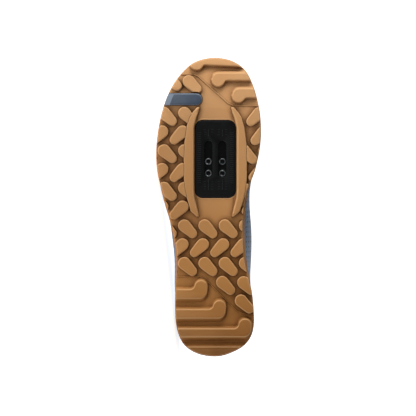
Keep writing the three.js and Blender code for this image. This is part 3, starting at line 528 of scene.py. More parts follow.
def stack(name, rings):
    """A body pulled up through rings of corners, in millimetres, and closed by a face at each end."""
    deselect()
    bpy.ops.mesh.primitive_circle_add(vertices=len(rings[0]), radius=1, fill_type="NGON")
    piece = bpy.context.object
    piece.name = name
    for vertex, corner in zip(piece.data.vertices, rings[0]):
        vertex.co = Vector(corner) * MM
    for below, ring in zip(rings, rings[1:]):
        bpy.ops.object.mode_set(mode="EDIT")
        bpy.ops.mesh.extrude_region_move(TRANSFORM_OT_translate={"value": (0, 0, 0.0)})
        bpy.ops.object.mode_set(mode="OBJECT")
        for vertex in piece.data.vertices:
            if vertex.select:
                place = vertex.co / MM
                source = min(range(len(below)), key=lambda n: (Vector(below[n]) - place).length_squared)
                vertex.co = Vector(ring[source]) * MM
    bpy.ops.object.mode_set(mode="EDIT")
    face_outward()
    return piece


def prism(name, outline, low, high):
    """A flat outline pulled up from one height to another."""
    return stack(name, [[(x, y, height) for x, y in outline] for height in (low, high)])


def facings(outline):
    """The way out at each corner of a closed outline that runs anticlockwise."""
    ways = []
    for n, here in enumerate(outline):
        before, after = outline[n - 1], outline[(n + 1) % len(outline)]
        first = Vector((here[1] - before[1], before[0] - here[0])).normalized()
        second = Vector((after[1] - here[1], here[0] - after[0])).normalized()
        both = (first + second).normalized()
        ways.append(both / max(0.5, both.dot(first)))
    return ways


def grown(outline, amount, height):
    """A ring round an outline. The amount may be a function of the way that each side faces."""
    ring = []
    for (x, y), way in zip(outline, facings(outline)):
        out = amount(way) if callable(amount) else amount
        ring.append((x + way.x * out, y + way.y * out, height))
    return ring


def mark_standing(piece):
    """Keeps each corner's place on the standing shoe, in millimetres, for the materials' patterns."""
    layer = piece.data.attributes.new("standing", "FLOAT_VECTOR", "POINT")
    for vertex, place in zip(piece.data.vertices, layer.data):
        place.vector = vertex.co / MM


def mark(piece, name, value):
    """Marks each corner of a piece with a number, which may be a function of the corner."""
    layer = piece.data.attributes.new(name, "FLOAT", "POINT")
    for vertex, place in zip(piece.data.vertices, layer.data):
        place.value = value(vertex) if callable(value) else value


def highlight_edge(vertex):
    """How much a corner of the tread belongs to a raised edge, which the gum paints paler as a highlight."""
    x = vertex.co.x / MM
    depth = vertex.co.z / MM - tread_height(x)
    level = Vector((tread_height(x + 0.5) - tread_height(x - 0.5), 0, -1)).normalized()
    tilt = math.sqrt(max(0.0, 1 - vertex.normal.dot(level) ** 2))
    return smooth(tilt, 0.08, 0.4) * (1 - smooth(depth, 0.5, 1.3))


def lay_down(piece, replaces=()):
    """Keeps each corner's standing place, turns a finished piece into the row frame, hangs it on the root
    body, and hides the imported parts that it replaces.
    """
    mark_standing(piece)
    piece.matrix_world = SHOE
    settle(piece)
    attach(piece, "root")
    if replaces:
        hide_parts(*replaces)


# Outsole
# Soft profile of a moulded lug: how far each ring stands out from the crest, and how deep it lies
LUG_PROFILE = [
    (-1.9, 0.0), (-1.15, 0.0), (-0.72, 0.1), (-0.4, 0.38), (-0.15, 0.95), (0.2, 4.3), (0.3, 4.9),
]

# Profile of a bar's side: share of its spread, and share of its height
BAR_PROFILE = [
    (-0.32, 0.0), (-0.08, 0.0), (0.04, 0.02), (0.16, 0.08),
    (0.32, 0.24), (0.6, 0.62), (0.8, 0.86), (1.05, 1.08),
]


def model_lug():
    """One drop-shaped lug on a level floor, its narrow end towards the heel."""
    reach = math.hypot(*LUG_REACH)
    spread = math.acos((LUG_BIG - LUG_SMALL) / reach)
    outline = arc(0, 0, LUG_BIG, spread - math.pi, math.pi - spread, 14)
    outline += arc(-reach, 0, LUG_SMALL, math.pi - spread, math.pi + spread, 7)
    return stack("lug", [grown(outline, out, depth) for out, depth in LUG_PROFILE])


def lug_place(x, y, lean):
    heading = math.atan2(lean * LUG_REACH[1], LUG_REACH[0]) - math.pi
    slope = (tread_height(x + 1) - tread_height(x - 1)) / 2
    return (
        Matrix.Translation(Vector((x, y, tread_height(x))) * MM)
        @ Matrix.Rotation(-math.atan(slope), 4, "Y")
        @ Matrix.Rotation(heading, 4, "Z")
    )


def lug_places():
    places = []
    for row in LUG_ROWS:
        for column in row["columns"]:
            y = LUG_FIRST[1] + LUG_COLUMN_PITCH * column - (1.8 if row["lean"] < 0 else 0)
            places.append((LUG_FIRST[0] - LUG_ROW_PITCH * row["row"], y, row["lean"]))
    places += [(lug["x"], lug["y"], lug["lean"]) for lug in LONE_LUGS]
    return places


def tread_clip():
    """The space that the tread may fill: inside the sole's edge, leaning in towards the ground."""
    return sole_body("tread_clip", [
        (tucked(1.6), above(tread_height, -1.0)),
        (tucked(0.65), above(root_height, 1.3)),
    ])


def ridge_ring(side, grow, height):
    """Ring round one of the pocket's ridges, which narrows to its two ends."""
    ring = []
    for turn in (1, -1):
        for row in RIDGE_ROWS[:: turn]:
            end = grow if row is RIDGE_ROWS[0] else -grow if row is RIDGE_ROWS[-1] else 0
            middle = (row["outer_edge"] + row["inner_edge"]) / 2 * PLATE_WIDTH
            half = (row["outer_edge"] - row["inner_edge"]) / 2 * PLATE_WIDTH
            slope = 1.0 if turn > 0 else 1.7
            across = middle + turn * max(half + grow * slope, half * 0.2)
            ring.append((PLATE_X + row["along"] * PLATE_LENGTH + end, PLATE_Y + side * across, height))
    return ring


def bar_outline(row, fillet, at_heel):
    """Flat top of a bar with a round head. A bar at the toe is one at the heel turned half round."""
    way = 1 if at_heel else -1
    half = row["half"]
    head_x = way * (row["head"][0] - row["x"])
    fillet_x = half + fillet
    fillet_y = -math.sqrt((BAR_HEAD + fillet) ** 2 - (fillet_x - head_x) ** 2)
    to_head = math.atan2(-fillet_y, head_x - fillet_x)
    outline = [(half, -BALL_WIDTH)]
    outline += arc(fillet_x, fillet_y, fillet, math.pi, to_head, 8)
    outline += arc(head_x, 0, BAR_HEAD, to_head - math.pi, math.pi / 2, 14)[1:]
    back = min(BAR_BACK, half + head_x - 0.6)
    outline += arc(back - half, BAR_BACK_REACH - back, back, math.pi / 2, math.pi, 9)
    outline += [(-half, -BALL_WIDTH)]
    return [(row["x"] + way * x, row["head"][1] + way * y) for x, y in outline]


def model_bar(name, outline, slopes):
    def out(share):
        def amount(way):
            along = slopes["toeward"] if way.x > 0 else slopes["heelward"]
            return share * (along * way.x**2 + slopes["sideways"] * way.y**2)

        return amount

    bar = stack(name, [grown(outline, out(share), depth * LUG_HEIGHT) for share, depth in BAR_PROFILE])
    subdivide_along(bar, 4)
    follow_sole(bar)
    return bar


def rim_outlines():
    """Flat tops of the bars that end the tread at the heel and at the toe."""
    wide = BALL_WIDTH * 0.7
    heel = [(HEEL_BAR_X, -wide), (HEEL_BAR_X, wide), (-20, wide), (-20, -wide)]
    head_x = TOE_BAR_X + 0.8
    fillet_x = TOE_BAR_X - TOE_BAR_FILLET
    fillet_y = TOE_HEAD_Y + math.sqrt((BAR_HEAD + TOE_BAR_FILLET) ** 2 - (fillet_x - head_x) ** 2)
    to_head = math.atan2(TOE_HEAD_Y - fillet_y, head_x - fillet_x)
    toe = [(TOE_BAR_X - 3.6, wide)] + arc(fillet_x, fillet_y, TOE_BAR_FILLET, 0, to_head, 7)
    toe += arc(head_x, TOE_HEAD_Y, BAR_HEAD, to_head + math.pi, 1.45 * math.pi, 10)[1:]
    toe += [(320, TOE_HEAD_Y - 24), (320, wide)]
    return heel, toe


def model_bead(path):
    """A low round bead along a bent line on the base of the tread."""
    def rail(offset):
        points = []
        for n, here in enumerate(path):
            before = Vector(path[max(n - 1, 0)])
            after = Vector(path[min(n + 1, len(path) - 1)])
            first = (Vector(here) - before).normalized() if n else (after - Vector(here)).normalized()
            second = (after - Vector(here)).normalized() if n < len(path) - 1 else first
            both = (first + second).normalized()
            side = Vector((-both.y, both.x)) / max(0.4, both.dot(first))
            points.append(Vector(here) + side * offset)
        return points

    def ring(half, depth):
        return [(x, y, depth) for x, y in rail(-half) + rail(half)[::-1]]

    profile = [(0.22, 3.85), (0.42, 3.93), (0.58, 4.12), (0.68, 4.7)]
    bead = stack("bead", [ring(half, depth) for half, depth in profile])
    subdivide_along(bead, 4)
    follow_sole(bead)
    return bead


def model_tread():
    pattern = model_lug()
    lugs = [copy_at(pattern, lug_place(*place)) for place in lug_places()]
    bpy.data.objects.remove(pattern)
    lugs = join("lugs", lugs)
    settle(lugs)
    cut(lugs, tread_clip(), "INTERSECT")
    corners = [[(x, y) for x, y, _ in ridge_ring(side, 0, 0)[: len(RIDGE_ROWS)]] for side in (1, -1)]
    cut(lugs, prism("pocket_clearance", corners[0] + corners[1][::-1], -10, 40))
    cut(lugs, prism("badge_clearance", badge_outline(1.3), -10, 40))
    soften(lugs, 0.5)

    bars = [model_bar(f"heel_bar_{n}", bar_outline(row, HEEL_BAR_FILLET, True), HEEL_SLOPES)
            for n, row in enumerate(HEEL_BARS)]
    bars += [model_bar(f"toe_bar_{n}", bar_outline(row, TOE_BAR_FILLET, False), TOE_SLOPES)
             for n, row in enumerate(TOE_BARS)]
    heel, toe = rim_outlines()
    bars.append(model_bar("heel_rim", heel, HEEL_SLOPES))
    bars.append(model_bar("toe_rim", toe, TOE_SLOPES))
    for side in (1, -1):
        ridge = stack("ridge", [ridge_ring(side, out, depth) for out, depth in LUG_PROFILE])
        subdivide_along(ridge, 4)
        follow_sole(ridge)
        bars.append(ridge)
    bars += [model_bead(path) for path in BEADS]
    clip = tread_clip()
    for bar in bars:
        cut(bar, clip, "INTERSECT", keep=True)
    bpy.data.objects.remove(clip)
    bars = join("bars", bars)
    soften(bars, 0.5)
    return lugs, bars


def badge_outline(grow):
    radius = BADGE_WIDTH / 2 + grow
    head = arc(BADGE_X, BADGE_END_Y - BADGE_WIDTH / 2, radius, 0, math.pi, 16)
    return [(BADGE_X + radius, -BALL_WIDTH)] + head + [(BADGE_X - radius, -BALL_WIDTH)]


def pocket_outline(grow):
    length, width = PLATE_LENGTH + 2 * grow, PLATE_WIDTH + 2 * grow
    return rounded_rectangle(PLATE_X, PLATE_Y, length, width, PLATE_CORNER + grow)


def ramp_body(outer_x, plate_x):
    """What a ramp of the pocket takes away: from the root level down to the plate."""
    half, wide = PLATE_Y + 16.0, PLATE_Y + 19.0
    outline = [(outer_x, half), (plate_x, wide), (plate_x, 2 * PLATE_Y - wide), (outer_x, 2 * PLATE_Y - half)]
    body = prism("ramp", outline, -1, LUG_HEIGHT - 0.1)
    for vertex in body.data.vertices:
        x = vertex.co.x / MM
        if vertex.co.z > 0:
            share = (x - outer_x) / (plate_x - outer_x)
            vertex.co.z = mix(root_height(outer_x) - 0.1, PLATE_FACE, share) * MM
        else:
            vertex.co.z += tread_height(x) * MM
    return body


def model_outsole_base():
    base = sole_body("outsole", [
        (tucked(1.5), root_height),
        (tucked(0.68), above(root_height, 0.35)),
        (tucked(0.3), above(root_height, 1.2)),
        (tucked(0.3), above(wrap_top, -3.0)),
        (tucked(0.5), above(wrap_top, -2.6)),
        (tucked(1.0), above(wrap_top, -2.4)),
        (tucked(1.0), above(wrap_top, -0.3)),
        (tucked(1.3), wrap_top),
    ])
    cup = sole_body("cup", [
        (tucked(2.2), cup_floor),
        (tucked(2.2), above(wrap_top, 5)),
    ])
    cut(base, cup)
    toe_end, heel_end = PLATE_X + PLATE_LENGTH / 2, PLATE_X - PLATE_LENGTH / 2
    cut(base, ramp_body(toe_end + 12.5, toe_end - 2))
    cut(base, ramp_body(heel_end - 19, heel_end + 2))
    cut(base, prism("window", pocket_outline(GAP), -5, 30))
    seat = prism("badge_seat", badge_outline(GAP), -5, LUG_HEIGHT + 1.0)
    subdivide_along(seat, 4)
    follow_sole(seat)
    cut(base, seat)
    return base


def model_lip():
    """The thin lip of the window that the cleat plate lies in."""
    profile = [(0.6, -0.3), (1.15, -0.3), (1.5, 0.0), (1.6, 0.5), (1.6, 1.8)]
    lip = stack("lip", [grown(pocket_outline(0), out, PLATE_FACE + depth) for out, depth in profile])
    cut(lip, prism("lip_window", pocket_outline(GAP), -5, 30))
    soften(lip, 0.25)
    return lip


def model_outsole():
    base = model_outsole_base()
    # Marks where the gum is painted paler as a highlight: not the base, most of the lip, and the raised edges
    # of lugs and bars
    mark(base, "pale_edge", 0.0)
    lip = model_lip()
    mark(lip, "pale_edge", 0.7)
    lugs, bars = model_tread()
    mark(lugs, "pale_edge", highlight_edge)
    mark(bars, "pale_edge", highlight_edge)
    outsole = join("outsole_moulded", [base, lip, lugs, bars])
    dress(outsole, GUM, 30)
    lay_down(outsole, replaces=["outsole"])


# Badge at the outer toe, cleat plate and nut plate
def model_badge():
    """The plain inset: a crowned tab whose outer end is cut back along the sole's edge."""
    profile = [(-2.2, 0.3), (-1.3, 0.3), (-0.85, 0.42), (-0.5, 0.72), (-0.3, 1.2)]
    profile.append((-0.3, LUG_HEIGHT + 0.6))
    badge = stack("sole_badge_inset", [grown(badge_outline(0), out, depth) for out, depth in profile])
    subdivide_along(badge, 4)
    follow_sole(badge)
    lean = EDGE_ROUND + 1.2
    cut(badge, sole_body("badge_clip", [
        (flat(lean + 3.2), above(tread_height, -1)),
        (flat(lean + 3.2), above(tread_height, 0.3)),
        (flat(0.45), above(root_height, -0.6)),
        (flat(0.45), above(root_height, 3)),
    ]), "INTERSECT")
    soften(badge, 0.35, 3, 30)
    # Sloped faces are marked for the badge's painted highlight, which lightens its edges
    mark(badge, "pale_edge", lambda vertex: smooth(math.hypot(vertex.normal.x, vertex.normal.y), 0.1, 0.5))
    dress(badge, BADGE)
    lay_down(badge, replaces=["sole_badge"])


def slot_centre(side):
    return PLATE_Y + side * SLOT_SPACING / 2


def model_tick(length, width):
    """One raised measuring line, with its long way across the shoe."""
    outline = rounded_rectangle(0, 0, width, length, width * 0.45, 2)
    return stack("tick", [grown(outline, -0.06, -0.12), grown(outline, 0, 0.0), grown(outline, 0, 0.2)])


def model_cleat_plate():
    """The plate: soft outer edge, two long slots with rounded lips, and scales of raised lines."""
    profile = [(-2.4, 0.0), (-1.4, 0.04), (-0.7, 0.22), (-0.2, 0.7), (0.0, 1.3), (0.0, PLATE_THICK)]
    plate = stack("cleat_plate_moulded", [grown(pocket_outline(0), out, depth) for out, depth in profile])
    for side in (1, -1):
        width, corner = 2 * SLOT_RADIUS, SLOT_RADIUS - 0.01
        slot = rounded_rectangle(PLATE_X, slot_centre(side), SLOT_LENGTH, width, corner, 10)
        cut(plate, prism("slot", slot, -2, PLATE_THICK + 2))
    soften(plate, 0.4, 3, 50)
    across = model_tick(3.4, 0.42)
    long_line = model_tick(3.4, 0.42)
    long_line.rotation_euler.z = math.pi / 2
    only(long_line)
    bpy.ops.object.transform_apply(location=False, rotation=True, scale=False)
    lines = []

    def lay_line(tick, x, y, size=1.0):
        place = Matrix.Translation(Vector((PLATE_X + x, y, 0.0)) * MM)
        lines.append(copy_at(tick, place @ Matrix.Scale(size, 4)))

    for n in range(26):
        for y in (-16.4, 16.4):
            lay_line(across, 2.0 * n - 23.5, PLATE_Y + y)
    for side in (1, -1):
        for x in (24.5, 28.0, -22.0, -25.5, -29.0):
            lay_line(long_line, x, slot_centre(side))
        for x in (24.5, 27.0, 29.5, -22.5, -25.0, -27.5, -30.0):
            for y in (-3.6, 3.6):
                lay_line(across, x, slot_centre(side) + y, 0.6)
    bpy.data.objects.remove(across)
    bpy.data.objects.remove(long_line)
    lines = join("scale_lines", lines)
    settle(lines)
    mark(lines, "pale_edge", 1.0)
    mark(plate, "pale_edge", lambda vertex: smooth(math.hypot(vertex.normal.x, vertex.normal.y), 0.1, 0.5))
    plate = join("cleat_plate_moulded", [plate, lines])
    for vertex in plate.data.vertices:
        vertex.co.z += PLATE_FACE * MM
    dress(plate, NYLON)
    lay_down(plate, replaces=["cleat_plate"])


def model_nut_plate():
    """The steel plate behind the slots, with four threaded holes that have raised collars."""
    back = PLATE_FACE + PLATE_THICK + GAP
    outline = rounded_rectangle(PLATE_X, PLATE_Y, 42.6, 24.6, 2)
    levels = [(-0.3, 0.1), (0, 0.4), (0, 2.1)]
    rings = [grown(outline, out, back + rise) for out, rise in levels]
    plate = stack("nut_plate_steel", rings)
    places = [(PLATE_X - NUT_HOLE_BACK + end * NUT_HOLE_PITCH / 2, slot_centre(side))
              for end in (1, -1) for side in (1, -1)]
    for x, y in places:
        hole = arc(x, y, NUT_HOLE, 0, 2 * math.pi, 24)[1:]
        cut(plate, prism("threaded_hole", hole, back - 3, back + 1.8))
    profile = [(1.15, 0.3), (1.05, -0.5), (0.75, -0.8), (0.35, -0.8), (0.05, -0.5), (0.05, 1.2)]
    collars = []
    for x, y in places:
        rings = []
        for out, rise in profile:
            circle = arc(x, y, NUT_HOLE + out, 0, 2 * math.pi, 28)[1:]
            rings.append([(px, py, back + rise) for px, py in circle])
        collars.append(stack("collar", rings))
    for piece, finish in [(plate, STEEL)] + [(collar, RUBBED_STEEL) for collar in collars]:
        piece.data.materials.clear()
        piece.data.materials.append(finish)
        piece.data.materials.append(STEEL)
    for collar in collars:
        for face in collar.data.polygons:
            face.material_index = 1 if len(face.vertices) > 4 else 0
    plate = join("nut_plate_steel", [plate] + collars)
    smooth_shade(plate, 35)
    lay_down(plate, replaces=["cleat_nut_plate"])


# The last that the upper is drawn over
def crown_height(x):
    return CONE_HEIGHT * from_table(LAST_ROWS, "crown", x / SOLE_LENGTH, plain)


def throat_centre(x):
    return BALL_WIDTH * from_table(LAST_ROWS, "shift", x / SOLE_LENGTH, plain)


class Last:
    """Points on the last: i goes round the sole's edge, and turn climbs from foot bed to crown."""

    def __init__(self, edge):
        self.edge = edge
        self.sections = [self._section(i) for i in range(edge.count)]

    def _section(self, i):
        x = self.edge.points[i].x
        along = x / SOLE_LENGTH
        crown_x = clamp(x, *CROWN_X)
        slope = (crown_height(crown_x + 1) - crown_height(crown_x - 1)) / 2
        side = "swell_in" if i <= self.edge.stations else "swell_out"
        return {
            "x": x,
            "crown": Vector((crown_x, throat_centre(crown_x), crown_height(crown_x))),
            "rise": math.hypot(1, slope),
            "full": from_table(LAST_ROWS, "full", along, plain),
            "swell": from_table(LAST_ROWS, side, along, plain),
            "floor": bed_height(x) + GAP,
        }

    def point(self, i, turn, grow):
        section = self.sections[i % self.edge.count]
        power = section["full"]
        shape = (abs(math.cos(turn)) ** power + math.sin(turn) ** power) ** (1 / power)
        out = max(0.0, math.cos(turn)) / shape
        up = math.sin(turn) / shape
        out *= 1 + section["swell"] * up * (1 - up) ** 2 * 6.75
        crown, floor = section["crown"], section["floor"]
        amount = grow(section["x"], floor + (crown.z - floor) * up) if callable(grow) else grow
        base = self.edge.inset(i, FEATHER_INSET - amount)
        high = crown.z + amount * section["rise"]
        return Vector((mix(crown.x, base.x, out), mix(crown.y, base.y, out), mix(floor, high, up)))

    def turn_at(self, i, grow, wanted, low=0.25):
        """The turn at which wanted(point) first turns false, going up from low."""
        high = math.pi / 2
        for _ in range(18):
            middle = (low + high) / 2
            if wanted(self.point(i, middle, grow)):
                low = middle
            else:
                high = middle
        return low


LAST = Last(EDGE)


def last_body(name, grow, below=0.0, rows=26):
    """A closed body in the shape of the last, grown by a wall."""
    first = 2 if below else 1

    def place(i, row):
        turn = clamp((row - first) / rows) * math.pi / 2
        point = LAST.point(i, turn, grow)
        if row < first:
            point.z -= below
        if row == 0:
            facing = LAST.point(EDGE.count - i, turn, grow)
            point = Vector(((point.x + facing.x) / 2, (point.y + facing.y) / 2, point.z))
        return point

    return grid_body(name, EDGE.count, rows + first, place)


def collar_height(x):
    return CONE_HEIGHT * from_table(COLLAR_ROWS, "height", x / SOLE_LENGTH, plain)


def collar_padding(x, z):
    line = collar_height(x)
    near_top = smooth(z, line - COLLAR_PAD_DEPTH, line - COLLAR_PAD_DEPTH / 3)
    return -COLLAR_PAD * near_top * (1 - smooth(x / SOLE_LENGTH, 0.28, 0.35))


def throat_half(x):
    share = (x - THROAT_TOP_X) / (THROAT_FRONT_X - THROAT_FRONT_RADIUS - THROAT_TOP_X)
    return mix(THROAT_TOP_HALF, THROAT_FRONT_RADIUS, share)


def throat_outline(margin, front_margin):
    front_x = THROAT_FRONT_X - THROAT_FRONT_RADIUS
    radius = THROAT_FRONT_RADIUS + margin
    stretch = (THROAT_FRONT_RADIUS + front_margin) / radius
    front = arc(0, throat_centre(front_x), radius, -math.pi / 2, math.pi / 2, 20)
    middle, half, back = throat_centre(THROAT_TOP_X), THROAT_TOP_HALF + margin, THROAT_TOP_X - 30
    outline = [(front_x + x * stretch, y) for x, y in front]
    return outline + [(THROAT_TOP_X, middle + half), (back, middle + half), (back, middle - half),
                      (THROAT_TOP_X, middle - half)]


def side_prism(name, outline):
    """An outline in the shoe's side view, pulled right across the shoe."""
    return stack(name, [[(x, y, z) for x, z in outline] for y in (-120.0, 120.0)])


def collar_prism():
    first, last = COLLAR_ROWS[0]["along"] * SOLE_LENGTH, COLLAR_ROWS[-1]["along"] * SOLE_LENGTH
    line = [(mix(first, last, n / 32), collar_height(mix(first, last, n / 32))) for n in range(33)]
    top = CONE_HEIGHT + 40
    return side_prism("collar_opening", line + [(last, top), (first - 20, top), (first - 20, line[0][1])])


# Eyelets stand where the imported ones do
def eyelet_places():
    """Middle and outward axis of each packed eyelet, on the standing shoe, in millimetres."""
    back = SHOE.inverted()
    places = {}
    for name, node in frame["nodes"].items():
        if not name.startswith("eyelet"):
            continue
        corners = [back @ vertex.co / MM for vertex in node.data.vertices]
        middle = sum(corners, Vector()) / len(corners)
        sums = {}
        for face in node.data.polygons:
            key = tuple(round(abs(value), 2) for value in face.normal)
            total, normal = sums.get(key, (0.0, face.normal))
            sums[key] = (total + face.area, normal)
        axis = back.to_3x3() @ max(sums.values(), key=lambda entry: entry[0])[1]
        places[name] = (middle, axis if axis.z > 0 else -axis)
    return places


EYELETS = eyelet_places()


def turned_to(middle, axis):
    return Matrix.Translation(middle * MM) @ axis.to_track_quat("Z", "X").to_matrix().to_4x4()


def cut_eyelet_holes(piece):
    for middle, axis in EYELETS.values():
        drill = prism("drill", arc(0, 0, EYELET_HOLE, 0, 2 * math.pi, 16)[1:], -9, 9)
        drill.matrix_world = turned_to(middle, axis)
        settle(drill)
        carve(piece, drill)


# Upper, its lining, and the overlays on it
def set_lining(piece, lining):
    """Gives the faces that look in at the foot the lining's material."""
    piece.data.materials.append(lining)
    for face in piece.data.polygons:
        x = clamp(face.center.x / MM, 45.0, 262.0)
        middle = Vector((x, throat_centre(x), mix(bed_height(x), crown_height(x), 0.45))) * MM
        if face.normal.dot(face.center - middle) < 0:
            face.material_index = 1


def model_upper():
    upper = last_body("upper_shell", UPPER_WALL)
    carve(upper, last_body("foot_room", collar_padding, below=3.0))
    carve(upper, collar_prism())
    carve(upper, prism("throat", throat_outline(0, 0), 30, CONE_HEIGHT + 30))
    cut_eyelet_holes(upper)
    drop_doubled_faces(upper)
    upper.data.materials.clear()
    upper.data.materials.append(KNIT)
    set_lining(upper, LINING)
    mark(upper, "vented", lambda vertex: smooth(abs(vertex.normal.y), 0.74, 0.82))
    smooth_shade(upper, 40)
    lay_down(upper, replaces=["upper"])


def overlay(name, region_bodies, holes=()):
    """A sheet over the upper, cut to a region; finish_overlay later rounds its edges softly."""
    sheet = last_body(name, OVERLAY_HIGH)
    carve(sheet, last_body("sheet_inside", OVERLAY_LOW, below=3.0))
    for region in region_bodies:
        carve(sheet, region, "INTERSECT")
    for hole in holes:
        carve(sheet, hole)
    return sheet


def above_lip():
    lip = above(bed_height, LIP_HEIGHT + 2 * GAP)
    return sole_body("above_lip", [(flat(-30.0), lip), (flat(-30.0), flat(CONE_HEIGHT + 60.0))])


def finish_overlay(piece, finish, node):
    soften(piece, 0.45, 2, 55)
    dress(piece, finish, 40)
    tree = BVHTree.FromObject(piece, bpy.context.evaluated_depsgraph_get())
    lay_down(piece, replaces=[node])
    return tree


def model_toe_cap():
    region = side_prism("toe_region", TOE_CAP_LINE + [(SOLE_LENGTH + 20, 90), (SOLE_LENGTH + 20, 0)])
    return finish_overlay(overlay("toe_bumper", [above_lip(), region]), BUMPER, "toe_cap")


def model_heel_counter():
    region = side_prism("heel_region", [(-20, 0)] + COUNTER_LINE + [(-20, COUNTER_LINE[-1][1])])
    return finish_overlay(overlay("heel_cup", [above_lip(), region]), SKIN, "heel_counter")


def model_eyestay():
    reach = prism("eyestay_region", throat_outline(EYESTAY_WIDTH, EYESTAY_FRONT), 40, CONE_HEIGHT + 30)
    holes = [collar_prism(), prism("throat", throat_outline(0, 0), 30, CONE_HEIGHT + 30)]
    stay = overlay("lace_facing", [reach], holes)
    cut_eyelet_holes(stay)
    return finish_overlay(stay, SKIN, "eyestay")


# Sewing: short round stitches that follow a line on a sheet
def stitches(name, tree, rays, pitch=3.0):
    """Stitches along the places where rays, given as start and aim, meet a sheet."""
    hits = []
    for start, aim in rays:
        place, normal, _, _ = tree.ray_cast(start * MM, (aim - start).normalized())
        if place is not None:
            hits.append((place, normal))
    deselect()
    bpy.ops.mesh.primitive_uv_sphere_add(segments=6, ring_count=4, radius=1)
    pattern = bpy.context.object
    pattern.scale = (1.05 * MM, 0.33 * MM, 0.26 * MM)
    bpy.ops.object.transform_apply(location=False, rotation=False, scale=True)
    pieces, travelled = [], 0.0
    for (here, normal), (ahead, _) in zip(hits, hits[1:]):
        way = ahead - here
        if way.length > 12 * MM or way.length == 0:
            continue
        while travelled < way.length:
            along = way.normalized()
            across = normal.cross(along).normalized()
            up = along.cross(across)
            turn = Matrix((along, across, up)).transposed().to_4x4()
            place = here + along * travelled + up * 0.1 * MM
            pieces.append(copy_at(pattern, Matrix.Translation(place) @ turn))
            travelled += pitch * MM
        travelled -= way.length
    bpy.data.objects.remove(pattern)
    seam = join(name, pieces)
    settle(seam)
    dress(seam, THREAD, 60)
    return seam


def along_line(points, step=2.0):
    """Evenly spaced places along a bent line."""
    places = []
    for here, ahead in zip(points, points[1:]):
        span = Vector(ahead) - Vector(here)
        count = max(1, round(span.length / step))
        places += [Vector(here) + span * n / count for n in range(count)]
    return places + [Vector(points[-1])]


def side_rays(line, side):
    return [(Vector((x, side * 150.0, z)), Vector((x, 0.0, z))) for x, z in along_line(line)]


def down_rays(line):
    return [(Vector((x, y, 200.0)), Vector((x, y, 0.0))) for x, y in along_line(line)]


def sew_seams(toe_tree, heel_tree, stay_tree):
    seams = []
    for n, inset in enumerate((2.6, 4.8)):
        toe_line = [(x + inset, z) for x, z in TOE_CAP_LINE[1:]]
        heel_line = [(x - inset, z - inset * 0.4) for x, z in COUNTER_LINE]
        for side in (1, -1):
            seams.append(stitches(f"toe_seam_{n}_{side}", toe_tree, side_rays(toe_line, side)))
            seams.append(stitches(f"heel_seam_{n}_{side}", heel_tree, side_rays(heel_line, side)))
    for margin, front in ((EYESTAY_WIDTH - 2.4, EYESTAY_FRONT - 2.4), (2.2, 2.2)):
        outline = throat_outline(margin, front)
        line = [outline[-1]] + outline[:22]
        seams.append(stitches(f"facing_seam_{int(margin)}", stay_tree, down_rays(line)))
    seam = join("stitching", seams)
    lay_down(seam)


# Padded collar roll: a soft binding over the collar's top edge
def sweep(name, path, ups, section):
    """A section carried along a path. The section's points are (across, up), in millimetres."""
    rings = []
    for n, here in enumerate(path):
        ahead = (path[min(n + 1, len(path) - 1)] - path[max(n - 1, 0)]).normalized()
        across = ups[n].cross(ahead).normalized()
        up = ahead.cross(across).normalized()
        scale = section(n / (len(path) - 1))
        rings.append([here + across * a + up * b for a, b in scale])
    return stack(name, [[tuple(corner) for corner in ring] for ring in rings])


def oval(width, height, count=14):
    turns = [2 * math.pi * n / count for n in range(count)]
    return [(width / 2 * math.cos(turn), height / 2 * math.sin(turn)) for turn in turns]


def collar_path():
    """Middle of the upper's wall along the collar's line, from the inner side round the heel."""

    def wall(x, z):
        return (UPPER_WALL + collar_padding(x, z)) / 2

    path, ups = [], []
    reach = EDGE.stations // 2 + 6
    for i in range(reach, -reach - 1, -1):
        i %= EDGE.count
        turn = LAST.turn_at(i, wall, lambda point: point.z < collar_height(point.x))
        point = LAST.point(i, turn, wall)
        if point.x < THROAT_TOP_X + 2 and abs(point.y - throat_centre(point.x)) > THROAT_TOP_HALF + 1.0:
            path.append(point)
            ups.append((LAST.point(i, turn + 0.05, wall) - LAST.point(i, turn - 0.05, wall)).normalized())
    return path, ups


def model_collar_roll():
    path, ups = collar_path()

    def section(share):
        thin = min(1.0, 6 * min(share, 1 - share))
        return oval(mix(3.2, 6.9, thin), mix(2.6, 4.6, thin))

    roll = sweep("collar_roll", path, ups, section)
    apply_modifier(roll, "SUBSURF", levels=1, render_levels=1)
    dress(roll, LINING, 60)
    lay_down(roll)


